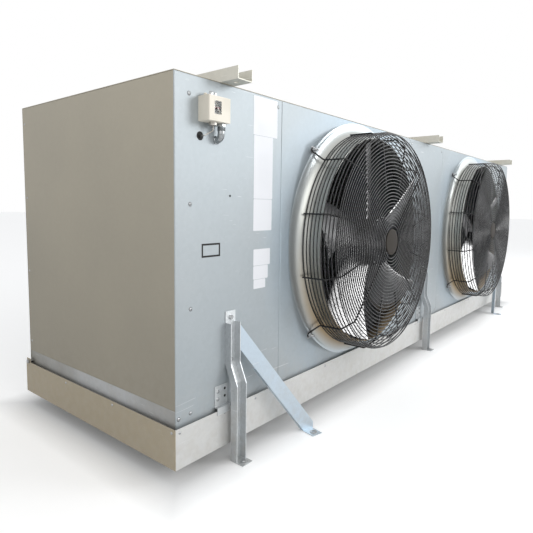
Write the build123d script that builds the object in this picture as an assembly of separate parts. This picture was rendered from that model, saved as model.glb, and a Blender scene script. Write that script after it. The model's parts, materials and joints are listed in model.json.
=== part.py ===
"""Two-fan unit cooler for a walk-in cold room, standing on its transport legs.

Millimetres. X runs along the cooler, -Y is the air-off face with the fans, +Z is up.
The origin is the middle of the floor bolt pattern of the four corner legs.
"""

from build123d import *
from math import cos, radians, sin, sqrt
import os

# ---------------------------------------------------------------- driving sizes
cabinet_length = 3440.0
cabinet_depth = 850.0
cabinet_height = 945.0
end_section = 450.0
fan_section = 1040.0
sheet = 1.5
panel_return = 18.0
seam_gap = 0.6
contact_gap = 0.3

ground_clearance = 50.0
tray_height = 115.0
tray_overhang = 12.0
tray_sheet = 1.5
panel_dip = 10.0
end_strip_height = 43.0

rail_drop = 25.0
rail_height = 38.0
rail_foot = 40.0
cover_flange = 12.0

fan_drop = 5.5
guard_overhang = 19.0
flare_turn = 56.0
collar_reach = 87.0
tip_clearance = 8.0
flare_steps = 4
blade_count = 5
blade_thickness = 5.0
blade_chord = 250.0
blade_camber = 11.0
blade_pitch = 24.0
blade_sweep = 36.0
blade_root = 96.0
blade_tip = 230.0
blade_start = 20.0
blade_root_lap = 5.0
blade_tip_margin = 10.0
blade_tip_shift = 50.0
blade_bow = 29.0
bell_radius = 95.0
bell_back = 22.0
bell_front = 122.0
axle_radius = 42.0
axle_depth = 80.0
sleeve_wall = 3.0
bell_margin = 8.0
running_clearance = 0.05

guard_radius = 425.0
guard_wire = 5.0
guard_arm = 6.0
guard_back = 27.0
guard_front = 160.0
guard_ring_sides = 48
guard_weld = 0.6
guard_ring_step = 105.0
short_arm_radius = 215.0
arm_bend = 16.0
hub_plate_radius = 52.0
hub_plate_thickness = 5.0
stud_offset = 53.0
stud_seat = 1.0
eye_radius = 9.0
eye_stub = 8.0
weld_lap = 2.0
nut_radius = 7.0
nut_height = 7.0
stud_radius = 4.0
stud_reach = 26.0

channel_width = 59.0
channel_wall_height = 35.0
channel_sheet = 2.5
channel_reach = 68.0
channel_inset = 194.5
hanger_hole_radius = 7.0
hanger_hole_inset = 34.0

leg_inset = 210.0
leg_width = 42.0
leg_flange = 25.0
leg_sheet = 2.5
leg_top = 455.0
leg_flange_top = 421.0
leg_joggle_top = 298.0
leg_joggle_bottom = 238.0
leg_joggle = 26.0
leg_foot_reach = 51.0
foot_hole_radius = 5.5
foot_hole_reach = 62.0
leg_bolt_heights = (436.0, 306.0)
bolt_head_radius = 8.0
bolt_head_height = 6.0

brace_sheet = 2.5
brace_width = 48.0
brace_flange = 20.0
brace_reach = 312.0
brace_splay = 12.4
brace_top = 412.0
brace_pitch = 51.3
brace_notch = 75.0
brace_foot_length = 48.0
brace_foot_width = 42.0
brace_toe = 20.0
brace_foot_lap = 4.0

keeper_width = 53.0
keeper_height = 84.0
keeper_sheet = 2.0
keeper_offset = 38.0
keeper_lip_lift = 8.0
keeper_lip_drop = 12.0

pivot_radius = 5.0
pivot_head_radius = 8.0
pivot_head_height = 5.0
pivot_height = 168.0
pivot_inset = 8.0
ear_width = 30.0
ear_rise = 12.0
drain_radius = 21.0
drain_bore = 17.0
drain_drop = 34.0
drain_inset = 170.0
drain_back = 95.0

fin_pack_depth = 290.0
fin_pack_rear_gap = 8.0
fin_pack_clearance = 2.0
fin_pitch = 62.0
fin_thickness = 2.5
tube_radius = 8.0
tube_reach = 30.0
tubes_per_row = 6
tube_pitch = 140.0
tube_row_gap = 150.0
bulkhead_inset = 26.0
rear_post_width = 80.0
suction_radius = 27.0
liquid_radius = 11.0
pipe_wall = 2.0
pipe_reach = 80.0
suction_lift = 45.75
suction_depth = 70.0
liquid_drop = 33.75
liquid_depth = 180.0

housing_left = 83.0
housing_drop = 52.0
housing_width = 82.0
housing_height = 66.0
housing_depth = 42.0
housing_wall = 2.0
window_width = 26.0
window_height = 44.0
window_left = 20.0
window_lift = 14.0
window_margin = 4.0
housing_corner = 3.0
spindle_pitch = 13.0
spindle_head_height = 8.0
guide_gap = 8.0
pointer_width = 11.0
pointer_thickness = 3.0
pointer_gap = 2.0
bellows_share = 0.42
bellows_radius = 11.0
bellows_height = 9.0
grommet_shift = 6.0
grommet_drop = 38.0
grommet_radius = 6.0
grommet_height = 4.0
spindle_radius = 3.0
spindle_head_radius = 5.0
capillary_radius = 1.5
elbow_radius = 8.0
elbow_drop = 43.0
elbow_inset = 16.0
elbow_nut_wall = 4.0
elbow_nut_height = 9.0
elbow_flange_height = 5.0
capillary_bend = 5.0
capillary_drop = 14.0
capillary_turn = (-14.0, -1.0, -7.0)

# ---------------------------------------------------------------- derived places
half_length = cabinet_length / 2
front = -cabinet_depth / 2
rear = cabinet_depth / 2
tray_rim = ground_clearance + tray_height
cabinet_top = tray_rim + cabinet_height
panel_bottom = tray_rim - panel_dip
panel_top = cabinet_top - sheet
rail_bottom = panel_bottom - rail_drop
rail_top = rail_bottom + rail_height
first_seam = half_length - end_section
second_seam = first_seam - fan_section
fan_x = first_seam - fan_section / 2
fan_z = (tray_rim + cabinet_top) / 2 - fan_drop
bulkhead_x = first_seam + bulkhead_inset
collar_radius = guard_radius - guard_overhang
flare_radius = collar_radius + flare_turn
tip_radius = collar_radius - tip_clearance
front_rail_back = front + 2 * sheet
rear_rail_back = rear - 2 * sheet
fin_pack_rear = rear - fin_pack_rear_gap
fin_pack_front = fin_pack_rear - fin_pack_depth
housing_x = -half_length + housing_left
housing_top = cabinet_top - housing_drop
housing_bottom = housing_top - housing_height
leg_spacing = half_length - leg_inset
channel_spacing = half_length - channel_inset
stations = {"left": -leg_spacing, "middle": 0.0, "right": leg_spacing}
fan_sides = {"left": -1, "right": 1}
coil_middle = (rail_top + panel_top - cover_flange) / 2
tube_span = (tubes_per_row - 1) * tube_pitch
tube_low, tube_high = coil_middle - tube_span / 2, coil_middle + tube_span / 2
refrigerant_lines = (
    ("suction", tube_low + suction_lift, suction_radius, fin_pack_front + suction_depth),
    ("liquid", tube_high - liquid_drop, liquid_radius, fin_pack_front + liquid_depth),
)


def block(x, y, z):
    """A box between two corners, each axis given as a (low, high) pair."""
    size = [high - low for low, high in (x, y, z)]
    middle = [(high + low) / 2 for low, high in (x, y, z)]
    return Pos(*middle) * Box(*size)


def rod(start, direction, radius, length):
    """A round bar that starts at a point and runs along a direction."""
    seat = Plane(origin=start, z_dir=direction)
    return seat * Cylinder(radius, length, align=(Align.CENTER, Align.CENTER, Align.MIN))


def hexagon_bar(start, direction, radius, length):
    """A hexagon bar, as a bolt head or nut, from a point along a direction."""
    return extrude(Plane(origin=start, z_dir=direction) * RegularPolygon(radius, 6), length)


def ring(radius, reach, wire):
    """A wire ring about local Z, many-sided, with its middle at a radius and a height."""
    outline = RegularPolygon(radius + wire / 2, guard_ring_sides)
    outline -= RegularPolygon(radius - wire / 2, guard_ring_sides)
    return Pos(0, 0, reach - wire / 2) * extrude(outline, wire)


def at_fan(side):
    """The fan's own frame: local Z points out of the air-off face, local Y is up."""
    return Plane(origin=(side * fan_x, front, fan_z), x_dir=(1, 0, 0), z_dir=(0, -1, 0)).location


def mirrored_rear(solid):
    """The same piece on the rear face."""
    return mirror(solid, Plane.XZ)


# ---------------------------------------------------------------- cabinet shell
def top_cover():
    """Flat lid with flanges that turn down inside the panels."""
    lid = block((-half_length, half_length), (front, rear), (panel_top, cabinet_top))
    inner_x = half_length - sheet
    skirt = block((-inner_x, inner_x), (front + sheet, rear - sheet), (panel_top - cover_flange, panel_top))
    hollow = block(
        (-inner_x + sheet, inner_x - sheet),
        (front + 2 * sheet, rear - 2 * sheet),
        (panel_top - cover_flange, panel_top),
    )
    return lid + (skirt - hollow)


def base_rail(y_face, inward):
    """Angle along the bottom of the front or rear face, behind the panels."""
    reach = half_length - 2 * sheet
    upright = block((-reach, reach), sorted((y_face, y_face + inward * sheet)), (rail_bottom, rail_top))
    foot = block(
        (-reach, reach),
        sorted((y_face, y_face + inward * rail_foot)),
        (rail_bottom, rail_bottom + sheet),
    )
    return upright + foot


def base_strip(side):
    """Recessed strip that closes the end below the end panel and carries the tray pivot."""
    outer = side * (half_length - sheet)
    across = sorted((outer, outer - side * sheet))
    return block(across, (front + sheet, rear - sheet), (rail_bottom, rail_top + end_strip_height))


def front_panel(x_low, x_high):
    """Folded front sheet between two seams, with returns turned into the cabinet."""
    low, high = x_low + seam_gap / 2, x_high - seam_gap / 2
    body = block((low, high), (front, front + sheet), (panel_bottom, panel_top))
    for edge in ((low, low + sheet), (high - sheet, high)):
        body += block(
            edge,
            (front + sheet, front + sheet + panel_return),
            (rail_top + contact_gap, panel_top - cover_flange - contact_gap),
        )
    return body


def end_panel(side):
    """Large plain end sheet, between the front and rear panels."""
    x = sorted((side * half_length, side * (half_length - sheet)))
    face = block(x, (front + sheet, rear - sheet), (tray_rim + end_strip_height, panel_top))
    inner = side * (half_length - sheet)
    fold = sorted((inner, inner - side * panel_return))
    z = (rail_top + end_strip_height + contact_gap, panel_top - cover_flange - contact_gap)
    for y in ((front + sheet, front + 2 * sheet), (rear - 2 * sheet, rear - sheet)):
        face += block(fold, y, z)
    if side > 0:
        for _, height, radius, depth in refrigerant_lines:
            face -= rod((half_length - 5, depth, height), (1, 0, 0), radius + contact_gap, 10)
    return face


def front_end_panel(side):
    """Front sheet of an end compartment. Its outer edge laps the end panel."""
    inner = side * (first_seam + seam_gap / 2)
    body = block(sorted((side * half_length, inner)), (front, front + sheet), (panel_bottom, panel_top))
    return body + block(
        sorted((inner, inner + side * sheet)),
        (front + sheet, front + sheet + panel_return),
        (rail_top + contact_gap, panel_top - cover_flange - contact_gap),
    )


def rear_end_cover(side):
    """Rear sheet of an end compartment, up to the coil bulkhead."""
    edges = sorted((side * half_length, side * (bulkhead_x - sheet)))
    return block(edges, (rear - sheet, rear), (panel_bottom, panel_top))


def rear_centre_post():
    """Upright cover strip at mid-length of the coil face, which the rear middle leg is bolted to."""
    half = rear_post_width / 2
    return block((-half, half), (rear - sheet, rear), (panel_bottom, panel_top))


# ---------------------------------------------------------------- nozzle and fan panel
def nozzle():
    """Sheet drawn out of the panel: a concave flare in straight steps, then a short collar."""
    turn_radius = flare_radius - collar_radius
    back_radius = turn_radius / cos(radians(90 / flare_steps)) + sheet
    steps = [90 * index / flare_steps for index in range(flare_steps + 1)]

    def flare_point(radius, turn):
        """A point of the flare, from the collar at 0 degrees to the panel at 90."""
        return (flare_radius - radius * cos(radians(turn)), turn_radius - radius * sin(radians(turn)))

    outside = [flare_point(turn_radius, turn) for turn in reversed(steps)]
    inside = [flare_point(back_radius, turn) for turn in steps[::2]]
    rim = [(outside[-1][0], collar_reach), (inside[0][0], collar_reach)]
    return revolve(Plane.XZ * make_face(Polyline(*outside, *rim, *inside, close=True)), Axis.Z)


def fan_panel(side):
    """Front sheet of a fan section with its drawn nozzle."""
    edges = sorted((side * first_seam, side * second_seam))
    flat = front_panel(*edges)
    hole = rod((side * fan_x, front - 1, fan_z), (0, 1, 0), flare_radius, sheet + 2)
    return (flat - hole) + at_fan(side) * nozzle()


# ---------------------------------------------------------------- guard
stud_circle = guard_radius + stud_offset
guard_outer = guard_radius + guard_wire / 2 + guard_arm / 2 - guard_weld
arm_plane = guard_front - guard_wire / 2 - guard_arm / 2 + guard_weld


def guard_arm_wire(inner_radius, foot):
    """One guard arm from its foot up the basket side, round a bend and in towards the hub."""
    points = [
        *foot,
        (guard_outer, guard_back),
        (guard_outer, arm_plane - arm_bend),
        (guard_outer - arm_bend, arm_plane),
        (inner_radius, arm_plane),
    ]
    return extrude(Plane.XZ * trace(Polyline(*points), guard_arm), guard_arm / 2, both=True)


def fan_guard(side):
    """Wire basket over the nozzle that also carries the motor on its hub plate."""
    guard = Pos(0, 0, guard_front) * Cylinder(hub_plate_radius, hub_plate_thickness)
    guard += ring(guard_radius, guard_back, guard_wire)
    guard += ring(guard_radius, (guard_back + guard_front) / 2, guard_wire)
    for radius in (guard_radius - arm_bend, guard_radius - guard_ring_step, short_arm_radius):
        guard += ring(radius, guard_front, guard_wire)
    foot_height = stud_seat + guard_arm / 2
    foot_end = stud_circle - eye_radius
    foot = [(foot_end + weld_lap, foot_height), (foot_end - eye_stub, foot_height)]
    for index in range(12):
        turn = Rot(0, 0, 15 + 30 * index)
        if index % 3 == 1:
            eye = RegularPolygon(eye_radius, 12) - RegularPolygon(stud_radius + contact_gap, 6)
            guard += turn * (Pos(stud_circle, 0, stud_seat) * extrude(eye, guard_arm))
            guard += turn * guard_arm_wire(hub_plate_radius - weld_lap, foot)
        else:
            guard += turn * guard_arm_wire(short_arm_radius, [])
    return at_fan(side) * guard


def guard_fixings(side):
    """Weld studs on the panel and the nuts that hold the guard's eyes."""
    pieces = []
    for turn in (45, 135, 225, 315):
        stud = hexagon_bar((stud_circle, 0, 0), (0, 0, 1), stud_radius, stud_reach)
        nut = hexagon_bar((stud_circle, 0, stud_seat + guard_arm), (0, 0, 1), nut_radius, nut_height)
        pieces.append(at_fan(side) * (Rot(0, 0, turn) * (stud + nut)))
    return Compound(pieces)


# ---------------------------------------------------------------- motor and impeller
def motor_stator(side):
    """Fixed inner half of the motor: a post on the guard's hub plate that the rotor turns on."""
    top = guard_front - hub_plate_thickness / 2
    low = bell_front - axle_depth
    return at_fan(side) * rod((0, 0, low), (0, 0, 1), axle_radius, top - low)


def fan_rotor(side):
    """Outer bell of the motor, which turns round the stator."""
    bell = rod((0, 0, bell_back), (0, 0, 1), bell_radius, bell_front - bell_back)
    seat_low = bell_front - axle_depth - contact_gap
    seat = rod((0, 0, seat_low), (0, 0, 1), axle_radius + running_clearance, bell_front)
    return at_fan(side) * (bell - seat)


def blade():
    """One blade: a plate bent along two lines at a pitch, cut to a forward-swept outline."""
    half, fold = blade_chord / 2, blade_chord / 6
    lower = [(-half, 0), (-fold, blade_camber), (fold, blade_camber), (half, 0)]
    upper = [(u, v + blade_thickness) for u, v in reversed(lower)]
    middle = (bell_back + bell_front - bell_margin) / 2
    section_plane = Plane(
        origin=(0, blade_sweep, middle),
        x_dir=(0, cos(radians(blade_pitch)), sin(radians(blade_pitch))),
        z_dir=(1, 0, 0),
    )
    plate = extrude(section_plane * make_face(Polyline(*lower, *upper, close=True)), tip_radius)
    root, root_half, far = bell_radius - blade_root_lap, blade_root / 2, tip_radius + blade_tip_margin
    middle_r = (root + far) / 2
    tip_high, tip_low = blade_tip - blade_tip_shift, -blade_tip_shift
    leading = ThreePointArc((root, root_half), (middle_r, root_half + blade_bow), (far, tip_high))
    trailing = ThreePointArc((far, tip_low), (middle_r, -root_half - blade_bow), (root, -root_half))
    ends = Line(leading @ 1, trailing @ 0) + Line(trailing @ 1, leading @ 0)
    outline = make_face(leading + ends + trailing)
    return plate & extrude(outline, bell_front) & Cylinder(tip_radius, 2 * bell_front)


def impeller(side):
    """Blades on a sleeve round the bell: wide, pitched and swept forward."""
    sleeve_length = bell_front - bell_back - bell_margin
    wheel = rod((0, 0, bell_back), (0, 0, 1), bell_radius + sleeve_wall, sleeve_length)
    for index in range(blade_count):
        wheel += Rot(0, 0, blade_start + index * 360 / blade_count) * blade()
    return at_fan(side) * (wheel - Cylinder(bell_radius, 3 * bell_front))


# ---------------------------------------------------------------- coil and partitions
def fin_pack():
    """Coil block: upright fins between a top and a bottom casing sheet, open to front and rear."""
    length = 2 * (bulkhead_x - sheet)
    low, high = rail_top + fin_pack_clearance, panel_top - cover_flange - fin_pack_clearance
    cells = round(length / fin_pitch)
    pitch = (length - fin_thickness) / cells
    cell = Rectangle(pitch - fin_thickness, high - low - 2 * fin_thickness)
    side_view = Rectangle(length, high - low) - GridLocations(pitch, 1, cells, 1) * cell
    face_plane = Plane((0, fin_pack_front, (low + high) / 2), x_dir=(1, 0, 0), z_dir=(0, -1, 0))
    return extrude(face_plane * side_view, -fin_pack_depth)


def coil_tubes():
    """Tubes pressed through the fins and bulkheads, in two rows across the depth."""
    length = 2 * (bulkhead_x + tube_reach)
    tubes = []
    for row in (-0.5, 0.5):
        for step in range(tubes_per_row):
            y = fin_pack_rear - fin_pack_depth / 2 + row * tube_row_gap
            z = tube_low + step * tube_pitch
            tubes.append(hexagon_bar((-length / 2, y, z), (1, 0, 0), tube_radius, length))
    return Compound(tubes)


def coil_bulkhead(side):
    """Tube sheet that carries the coil and parts the fan section from the end compartment."""
    x = sorted((side * bulkhead_x, side * (bulkhead_x - sheet)))
    return block(x, (front_rail_back, rear_rail_back), (rail_bottom + sheet, panel_top))


def centre_partition():
    """Sheet between the two fans, from the front panel back to the coil."""
    x = (-sheet / 2, sheet / 2)
    return block(x, (front_rail_back, fin_pack_front), (rail_bottom + sheet, panel_top))


def pipe(start, radius, length):
    """Round pipe along X with an open bore."""
    return rod(start, (1, 0, 0), radius, length) - rod(start, (1, 0, 0), radius - pipe_wall, length + 1)


def refrigerant_pipe(height, radius, depth):
    """Connection from the coil's tube sheet out through the right end panel."""
    return pipe((bulkhead_x, depth, height), radius, half_length + pipe_reach - bulkhead_x)


# ---------------------------------------------------------------- hangers, legs and braces
def hanger_channel(x):
    """Open channel across the top, web down, with a rod hole near each end."""
    reach = cabinet_depth / 2 + channel_reach
    half = channel_width / 2
    z = (cabinet_top, cabinet_top + channel_wall_height)
    body = block((x - half, x + half), (-reach, reach), z)
    body -= block(
        (x - half + channel_sheet, x + half - channel_sheet),
        (-reach, reach),
        (cabinet_top + channel_sheet, z[1]),
    )
    for y in (-reach + hanger_hole_inset, reach - hanger_hole_inset):
        body -= Pos(x, y, cabinet_top) * Cylinder(hanger_hole_radius, 4 * channel_sheet)
    return body


def leg(x):
    """Folded channel leg on the front face, joggled out past the tray to a bolted foot."""

    def silhouette(depth, top, low=0.0):
        """Side outline of the leg between the cabinet face and a depth, as a sheet edge."""
        return [
            (front - low, top),
            (front - depth, top),
            (front - depth, leg_joggle_top),
            (front - depth - leg_joggle, leg_joggle_bottom),
            (front - depth - leg_joggle, 0),
            (front - low - leg_joggle, 0),
            (front - low - leg_joggle, leg_joggle_bottom),
            (front - low, leg_joggle_top),
        ]

    def slab(points, width):
        """A side outline carried across the leg."""
        face = Plane.YZ.offset(x - width / 2) * make_face(Polyline(*points, close=True))
        return extrude(face, width)

    web = slab(silhouette(leg_sheet, leg_top), leg_width)
    channel = slab(silhouette(leg_flange, leg_flange_top), leg_width)
    channel -= slab(silhouette(leg_flange + 1, leg_flange_top + 1, leg_sheet), leg_width - 2 * leg_sheet)
    foot_start = front - leg_joggle
    foot = block(
        (x - leg_width / 2, x + leg_width / 2),
        (foot_start - leg_foot_reach, foot_start),
        (0, leg_sheet),
    )
    hole = Pos(x, front - foot_hole_reach, 0) * Cylinder(foot_hole_radius, 4 * leg_sheet)
    return web + channel + foot - hole


def brace(side):
    """Angle strut from a corner leg's flange down to its own floor foot."""
    toward = -side
    start = (side * leg_spacing + toward * (leg_width / 2), front - leg_flange)
    plane = Plane(
        origin=(start[0], start[1], 0),
        x_dir=(toward * cos(radians(brace_splay)), -sin(radians(brace_splay)), 0),
        z_dir=(toward * sin(radians(brace_splay)), cos(radians(brace_splay)), 0),
    )
    up = 1 if plane.y_dir.Z > 0 else -1
    slope = sin(radians(brace_pitch)) / cos(radians(brace_pitch))
    drop = brace_width / cos(radians(brace_pitch))
    top_end = brace_top - slope * brace_reach
    low_end = (brace_top - drop) / slope
    outline = [
        (0, brace_top),
        (brace_reach, top_end),
        (brace_reach, max(top_end - brace_toe, 0)),
        (brace_reach - brace_toe, 0),
        (low_end, 0),
        (0, brace_top - drop),
    ]
    face = make_face(Polyline(*[(u, up * v) for u, v in outline], close=True))
    strut = extrude(plane * face, brace_sheet)
    notch_end = (brace_notch / slope, brace_top - drop - brace_notch)
    flange_outline = [
        notch_end,
        (low_end, 0),
        (low_end + brace_sheet / sin(radians(brace_pitch)), 0),
        (notch_end[0] + brace_sheet / sin(radians(brace_pitch)), notch_end[1]),
    ]
    flange_face = make_face(Polyline(*[(u, up * v) for u, v in flange_outline], close=True))
    strut += extrude(plane * flange_face, brace_flange)
    foot_face = Rectangle(brace_foot_width, brace_sheet, align=(Align.MAX, Align.MIN))
    foot_plane = Plane(origin=plane.origin, x_dir=plane.x_dir, z_dir=-plane.z_dir)
    rise = 1 if foot_plane.y_dir.Z > 0 else -1
    foot_seat = foot_plane * Pos(brace_reach - brace_foot_lap, 0 if rise > 0 else -brace_sheet, 0)
    foot = extrude(foot_seat * foot_face, brace_foot_length)
    foot += extrude(foot_seat * foot_face, -brace_sheet)
    centre = plane.origin + plane.x_dir * (brace_reach - brace_foot_lap - brace_foot_width / 2)
    centre -= plane.z_dir * (brace_foot_length / 2 + brace_foot_lap)
    hole = Pos(centre.X, centre.Y, 0) * Cylinder(foot_hole_radius, 4 * brace_sheet)
    return strut + foot - hole


def leg_bolts():
    """Hexagon heads that hold each leg to the cabinet."""
    heads = []
    for x in stations.values():
        for z in leg_bolt_heights:
            head = hexagon_bar((x, front - leg_sheet, z), (0, -1, 0), bolt_head_radius, bolt_head_height)
            heads += [head, mirrored_rear(head)]
    return Compound(heads)


def tray_keepers():
    """Plates on the front panels whose lower lip holds up the tray rim, one beside each leg."""
    plates = []
    shelf = tray_rim + keeper_lip_lift
    low_edge = tray_rim - keeper_lip_drop
    lip = front - tray_overhang - keeper_sheet - contact_gap
    for x in stations.values():
        low = x - keeper_offset - keeper_width / 2
        across = (low, low + keeper_width)
        plate = block(across, (front - keeper_sheet, front), (shelf, low_edge + keeper_height))
        plate += block(across, (lip, front), (shelf, shelf + keeper_sheet))
        plate += block(across, (lip, lip + keeper_sheet), (low_edge, shelf + keeper_sheet))
        plates.append(plate)
    return Compound(plates)


# ---------------------------------------------------------------- drip tray
def drip_tray():
    """Shallow sheet tray under the whole cabinet, with two pivot ears and a drain spout."""
    x, y = half_length + tray_overhang, rear + tray_overhang
    box = block((-x, x), (-y, y), (ground_clearance, tray_rim))
    box -= block(
        (-x + tray_sheet, x - tray_sheet),
        (-y + tray_sheet, y - tray_sheet),
        (ground_clearance + tray_sheet, tray_rim),
    )
    pivot_y = rear - pivot_inset
    for side in (-1, 1):
        ear_x = sorted((side * x, side * (x - tray_sheet)))
        ear_y = (pivot_y - ear_width / 2, pivot_y + ear_width / 2)
        ear = block(ear_x, ear_y, (tray_rim, pivot_height + ear_rise))
        seat = (side * (x - 2 * tray_sheet), pivot_y, pivot_height)
        hole = rod(seat, (side, 0, 0), pivot_radius + running_clearance, 3 * tray_sheet)
        box = box + ear - hole
    seat = (half_length - drain_inset, rear - drain_back, ground_clearance + tray_sheet)
    spout = rod(seat, (0, 0, -1), drain_radius, drain_drop + tray_sheet)
    return box + spout - rod(seat, (0, 0, -1), drain_bore, drain_drop + 2 * tray_sheet)


def tray_pivot_bolts():
    """Shoulder bolts through the base strips that the tray swings on."""
    bolts = []
    for side in (-1, 1):
        seat = (side * (half_length - sheet), rear - pivot_inset, pivot_height)
        length = sheet + tray_overhang + contact_gap
        shank = rod(seat, (side, 0, 0), pivot_radius, length)
        head_at = (seat[0] + side * length, seat[1], seat[2])
        bolts.append(shank + hexagon_bar(head_at, (side, 0, 0), pivot_head_radius, pivot_head_height))
    return Compound(bolts)


# ---------------------------------------------------------------- thermostat
housing_front = front - housing_depth
window_x = housing_x + window_left
window_z = housing_bottom + window_lift
window_middle = window_x + window_width / 2
spindle_xs = (window_middle - spindle_pitch / 2, window_middle + spindle_pitch / 2)
spindle_y = front - housing_depth / 2
pointer_z = window_z + window_height / 2


def thermostat_cover():
    """Moulded housing, open at the back, with the scale window and spindle holes."""
    z = (housing_bottom, housing_top)
    cover = block((housing_x, housing_x + housing_width), (housing_front, front - housing_wall), z)
    cover = fillet(cover.edges().filter_by(Axis.Z).group_by(Axis.Y)[0], housing_corner)
    cover -= block(
        (housing_x + housing_wall, housing_x + housing_width - housing_wall),
        (housing_front + housing_wall, front - housing_wall),
        (z[0] + housing_wall, z[1] - housing_wall),
    )
    cover -= block(
        (window_x, window_x + window_width),
        (housing_front - 1, housing_front + housing_wall + 1),
        (window_z, window_z + window_height),
    )
    for x in spindle_xs:
        seat = (x, spindle_y, z[1] - 2 * housing_wall)
        cover -= rod(seat, (0, 0, 1), spindle_radius + running_clearance, 4 * housing_wall)
    return cover


def thermostat_base():
    """Back plate with the pointer guide that stands behind the scale window."""
    plate = block(
        (housing_x, housing_x + housing_width), (front - housing_wall, front), (housing_bottom, housing_top)
    )
    return plate + block(
        (window_x - window_margin, window_x + window_width + window_margin),
        (spindle_y + guide_gap, front - housing_wall),
        (window_z - window_margin, window_z + window_height + window_margin),
    )


def thermostat_window():
    """Clear pane let into the housing's front."""
    return block(
        (window_x, window_x + window_width),
        (housing_front, housing_front + housing_wall),
        (window_z, window_z + window_height),
    )


def spindle(index):
    """Adjusting spindle with a square key head above the housing."""
    x = spindle_xs[index]
    shaft = rod((x, spindle_y, window_z), (0, 0, 1), spindle_radius, housing_top + contact_gap - window_z)
    half = spindle_head_radius / sqrt(2)
    head = block(
        (x - half, x + half),
        (spindle_y - half, spindle_y + half),
        (housing_top + contact_gap, housing_top + contact_gap + spindle_head_height),
    )
    return shaft + head


def pointer(index):
    """Pointer behind the window, at its spindle's set point."""
    x = spindle_xs[index]
    y_high = spindle_y - spindle_radius - contact_gap
    return block(
        (x - pointer_width / 2, x + pointer_width / 2),
        (housing_front + housing_wall + pointer_gap, y_high),
        (pointer_z - pointer_thickness / 2, pointer_z + pointer_thickness / 2),
    )


bellows_at = (housing_x + housing_width * bellows_share, spindle_y, housing_bottom)
grommet_at = (housing_x + grommet_shift, front, housing_bottom - grommet_drop)


def thermostat_bellows():
    """Bellows cup under the housing that the capillary ends in."""
    return rod(bellows_at, (0, 0, -1), bellows_radius, bellows_height)


def capillary_grommet():
    """Rubber bush where the capillary enters the panel."""
    return rod(grommet_at, (0, -1, 0), grommet_radius, grommet_height)


def capillary():
    """Thin sensing tube from the bellows, curving down into the grommet."""
    start = Vector(bellows_at) - Vector(0, 0, bellows_height)
    end = Vector(grommet_at) - Vector(0, grommet_height, 0)
    knee = start - Vector(0, 0, capillary_drop)
    route = [start, knee, knee + Vector(*capillary_turn), end - Vector(0, capillary_drop, 0), end]
    path = FilletPolyline(*route, radius=capillary_bend)
    section = Plane(origin=path @ 0, z_dir=path % 0) * RegularPolygon(capillary_radius, 6)
    return sweep(section, path=path)


def conduit_elbow():
    """Right-angle cable gland from the housing's underside into the panel."""
    x, z = housing_x + housing_width - elbow_inset, housing_bottom - elbow_drop
    section = RegularPolygon(elbow_radius, 8, rotation=22.5)
    top_plane = Plane((x, spindle_y, housing_bottom), z_dir=(0, 0, -1))
    down = extrude(top_plane * section, elbow_drop + elbow_radius)
    level = extrude(Plane((x, spindle_y, z), z_dir=(0, 1, 0)) * section, front - spindle_y)
    nut_outer = elbow_radius + elbow_nut_wall
    nut = hexagon_bar((x, spindle_y, housing_bottom), (0, 0, -1), nut_outer, elbow_nut_height)
    flange = hexagon_bar((x, front, z), (0, -1, 0), nut_outer, elbow_flange_height)
    return down + level + nut + flange


# ---------------------------------------------------------------- all nodes
def build():
    """Every node by name."""
    nodes = {
        "top_cover": top_cover(),
        "base_rail_front": base_rail(front + sheet, 1),
        "base_rail_rear": base_rail(rear - sheet, -1),
        "front_middle_panel": front_panel(-second_seam, second_seam),
        "coil_fin_pack": fin_pack(),
        "coil_tubes": coil_tubes(),
        "centre_partition": centre_partition(),
        "rear_centre_post": rear_centre_post(),
        "leg_bolts": leg_bolts(),
        "tray_keepers": tray_keepers(),
        "drip_tray": drip_tray(),
        "tray_pivot_bolts": tray_pivot_bolts(),
        "thermostat_base": thermostat_base(),
        "thermostat_cover": thermostat_cover(),
        "thermostat_window": thermostat_window(),
        "thermostat_bellows": thermostat_bellows(),
        "capillary_grommet": capillary_grommet(),
        "capillary": capillary(),
        "conduit_elbow": conduit_elbow(),
    }
    for name, height, radius, depth in refrigerant_lines:
        nodes[f"{name}_connection"] = refrigerant_pipe(height, radius, depth)
    for index, name in enumerate(("range", "differential")):
        nodes[f"{name}_spindle"] = spindle(index)
        nodes[f"{name}_pointer"] = pointer(index)
    for name, side in fan_sides.items():
        nodes[f"base_strip_{name}"] = base_strip(side)
        nodes[f"end_panel_{name}"] = end_panel(side)
        nodes[f"front_end_panel_{name}"] = front_end_panel(side)
        nodes[f"rear_end_cover_{name}"] = rear_end_cover(side)
        nodes[f"coil_bulkhead_{name}"] = coil_bulkhead(side)
        nodes[f"fan_panel_{name}"] = fan_panel(side)
        nodes[f"fan_guard_{name}"] = fan_guard(side)
        nodes[f"guard_fixings_{name}"] = guard_fixings(side)
        nodes[f"motor_stator_{name}"] = motor_stator(side)
        nodes[f"fan_rotor_{name}"] = fan_rotor(side)
        nodes[f"impeller_{name}"] = impeller(side)
        nodes[f"front_brace_{name}"] = brace(side)
        nodes[f"rear_brace_{name}"] = mirrored_rear(brace(side))
    for name, x in stations.items():
        nodes[f"front_leg_{name}"] = leg(x)
        nodes[f"rear_leg_{name}"] = mirrored_rear(leg(x))
    for name, spacing in (("left", -channel_spacing), ("middle", 0.0), ("right", channel_spacing)):
        nodes[f"hanger_channel_{name}"] = hanger_channel(spacing)
    return nodes


os.makedirs("parts", exist_ok=True)
for node, solid in build().items():
    export_step(solid, f"parts/{node}.step")
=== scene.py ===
"""Looks of a walk-in unit cooler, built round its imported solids.

All places are in metres in the solids' own frame: X runs along the cooler, -Y points out of
the air-off face and Z points up from the floor. Every new piece is a surface worked out as
numpy arrays, with its place in its mesh.
"""

import json
import logging
from dataclasses import dataclass, field
from enum import Enum

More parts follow.
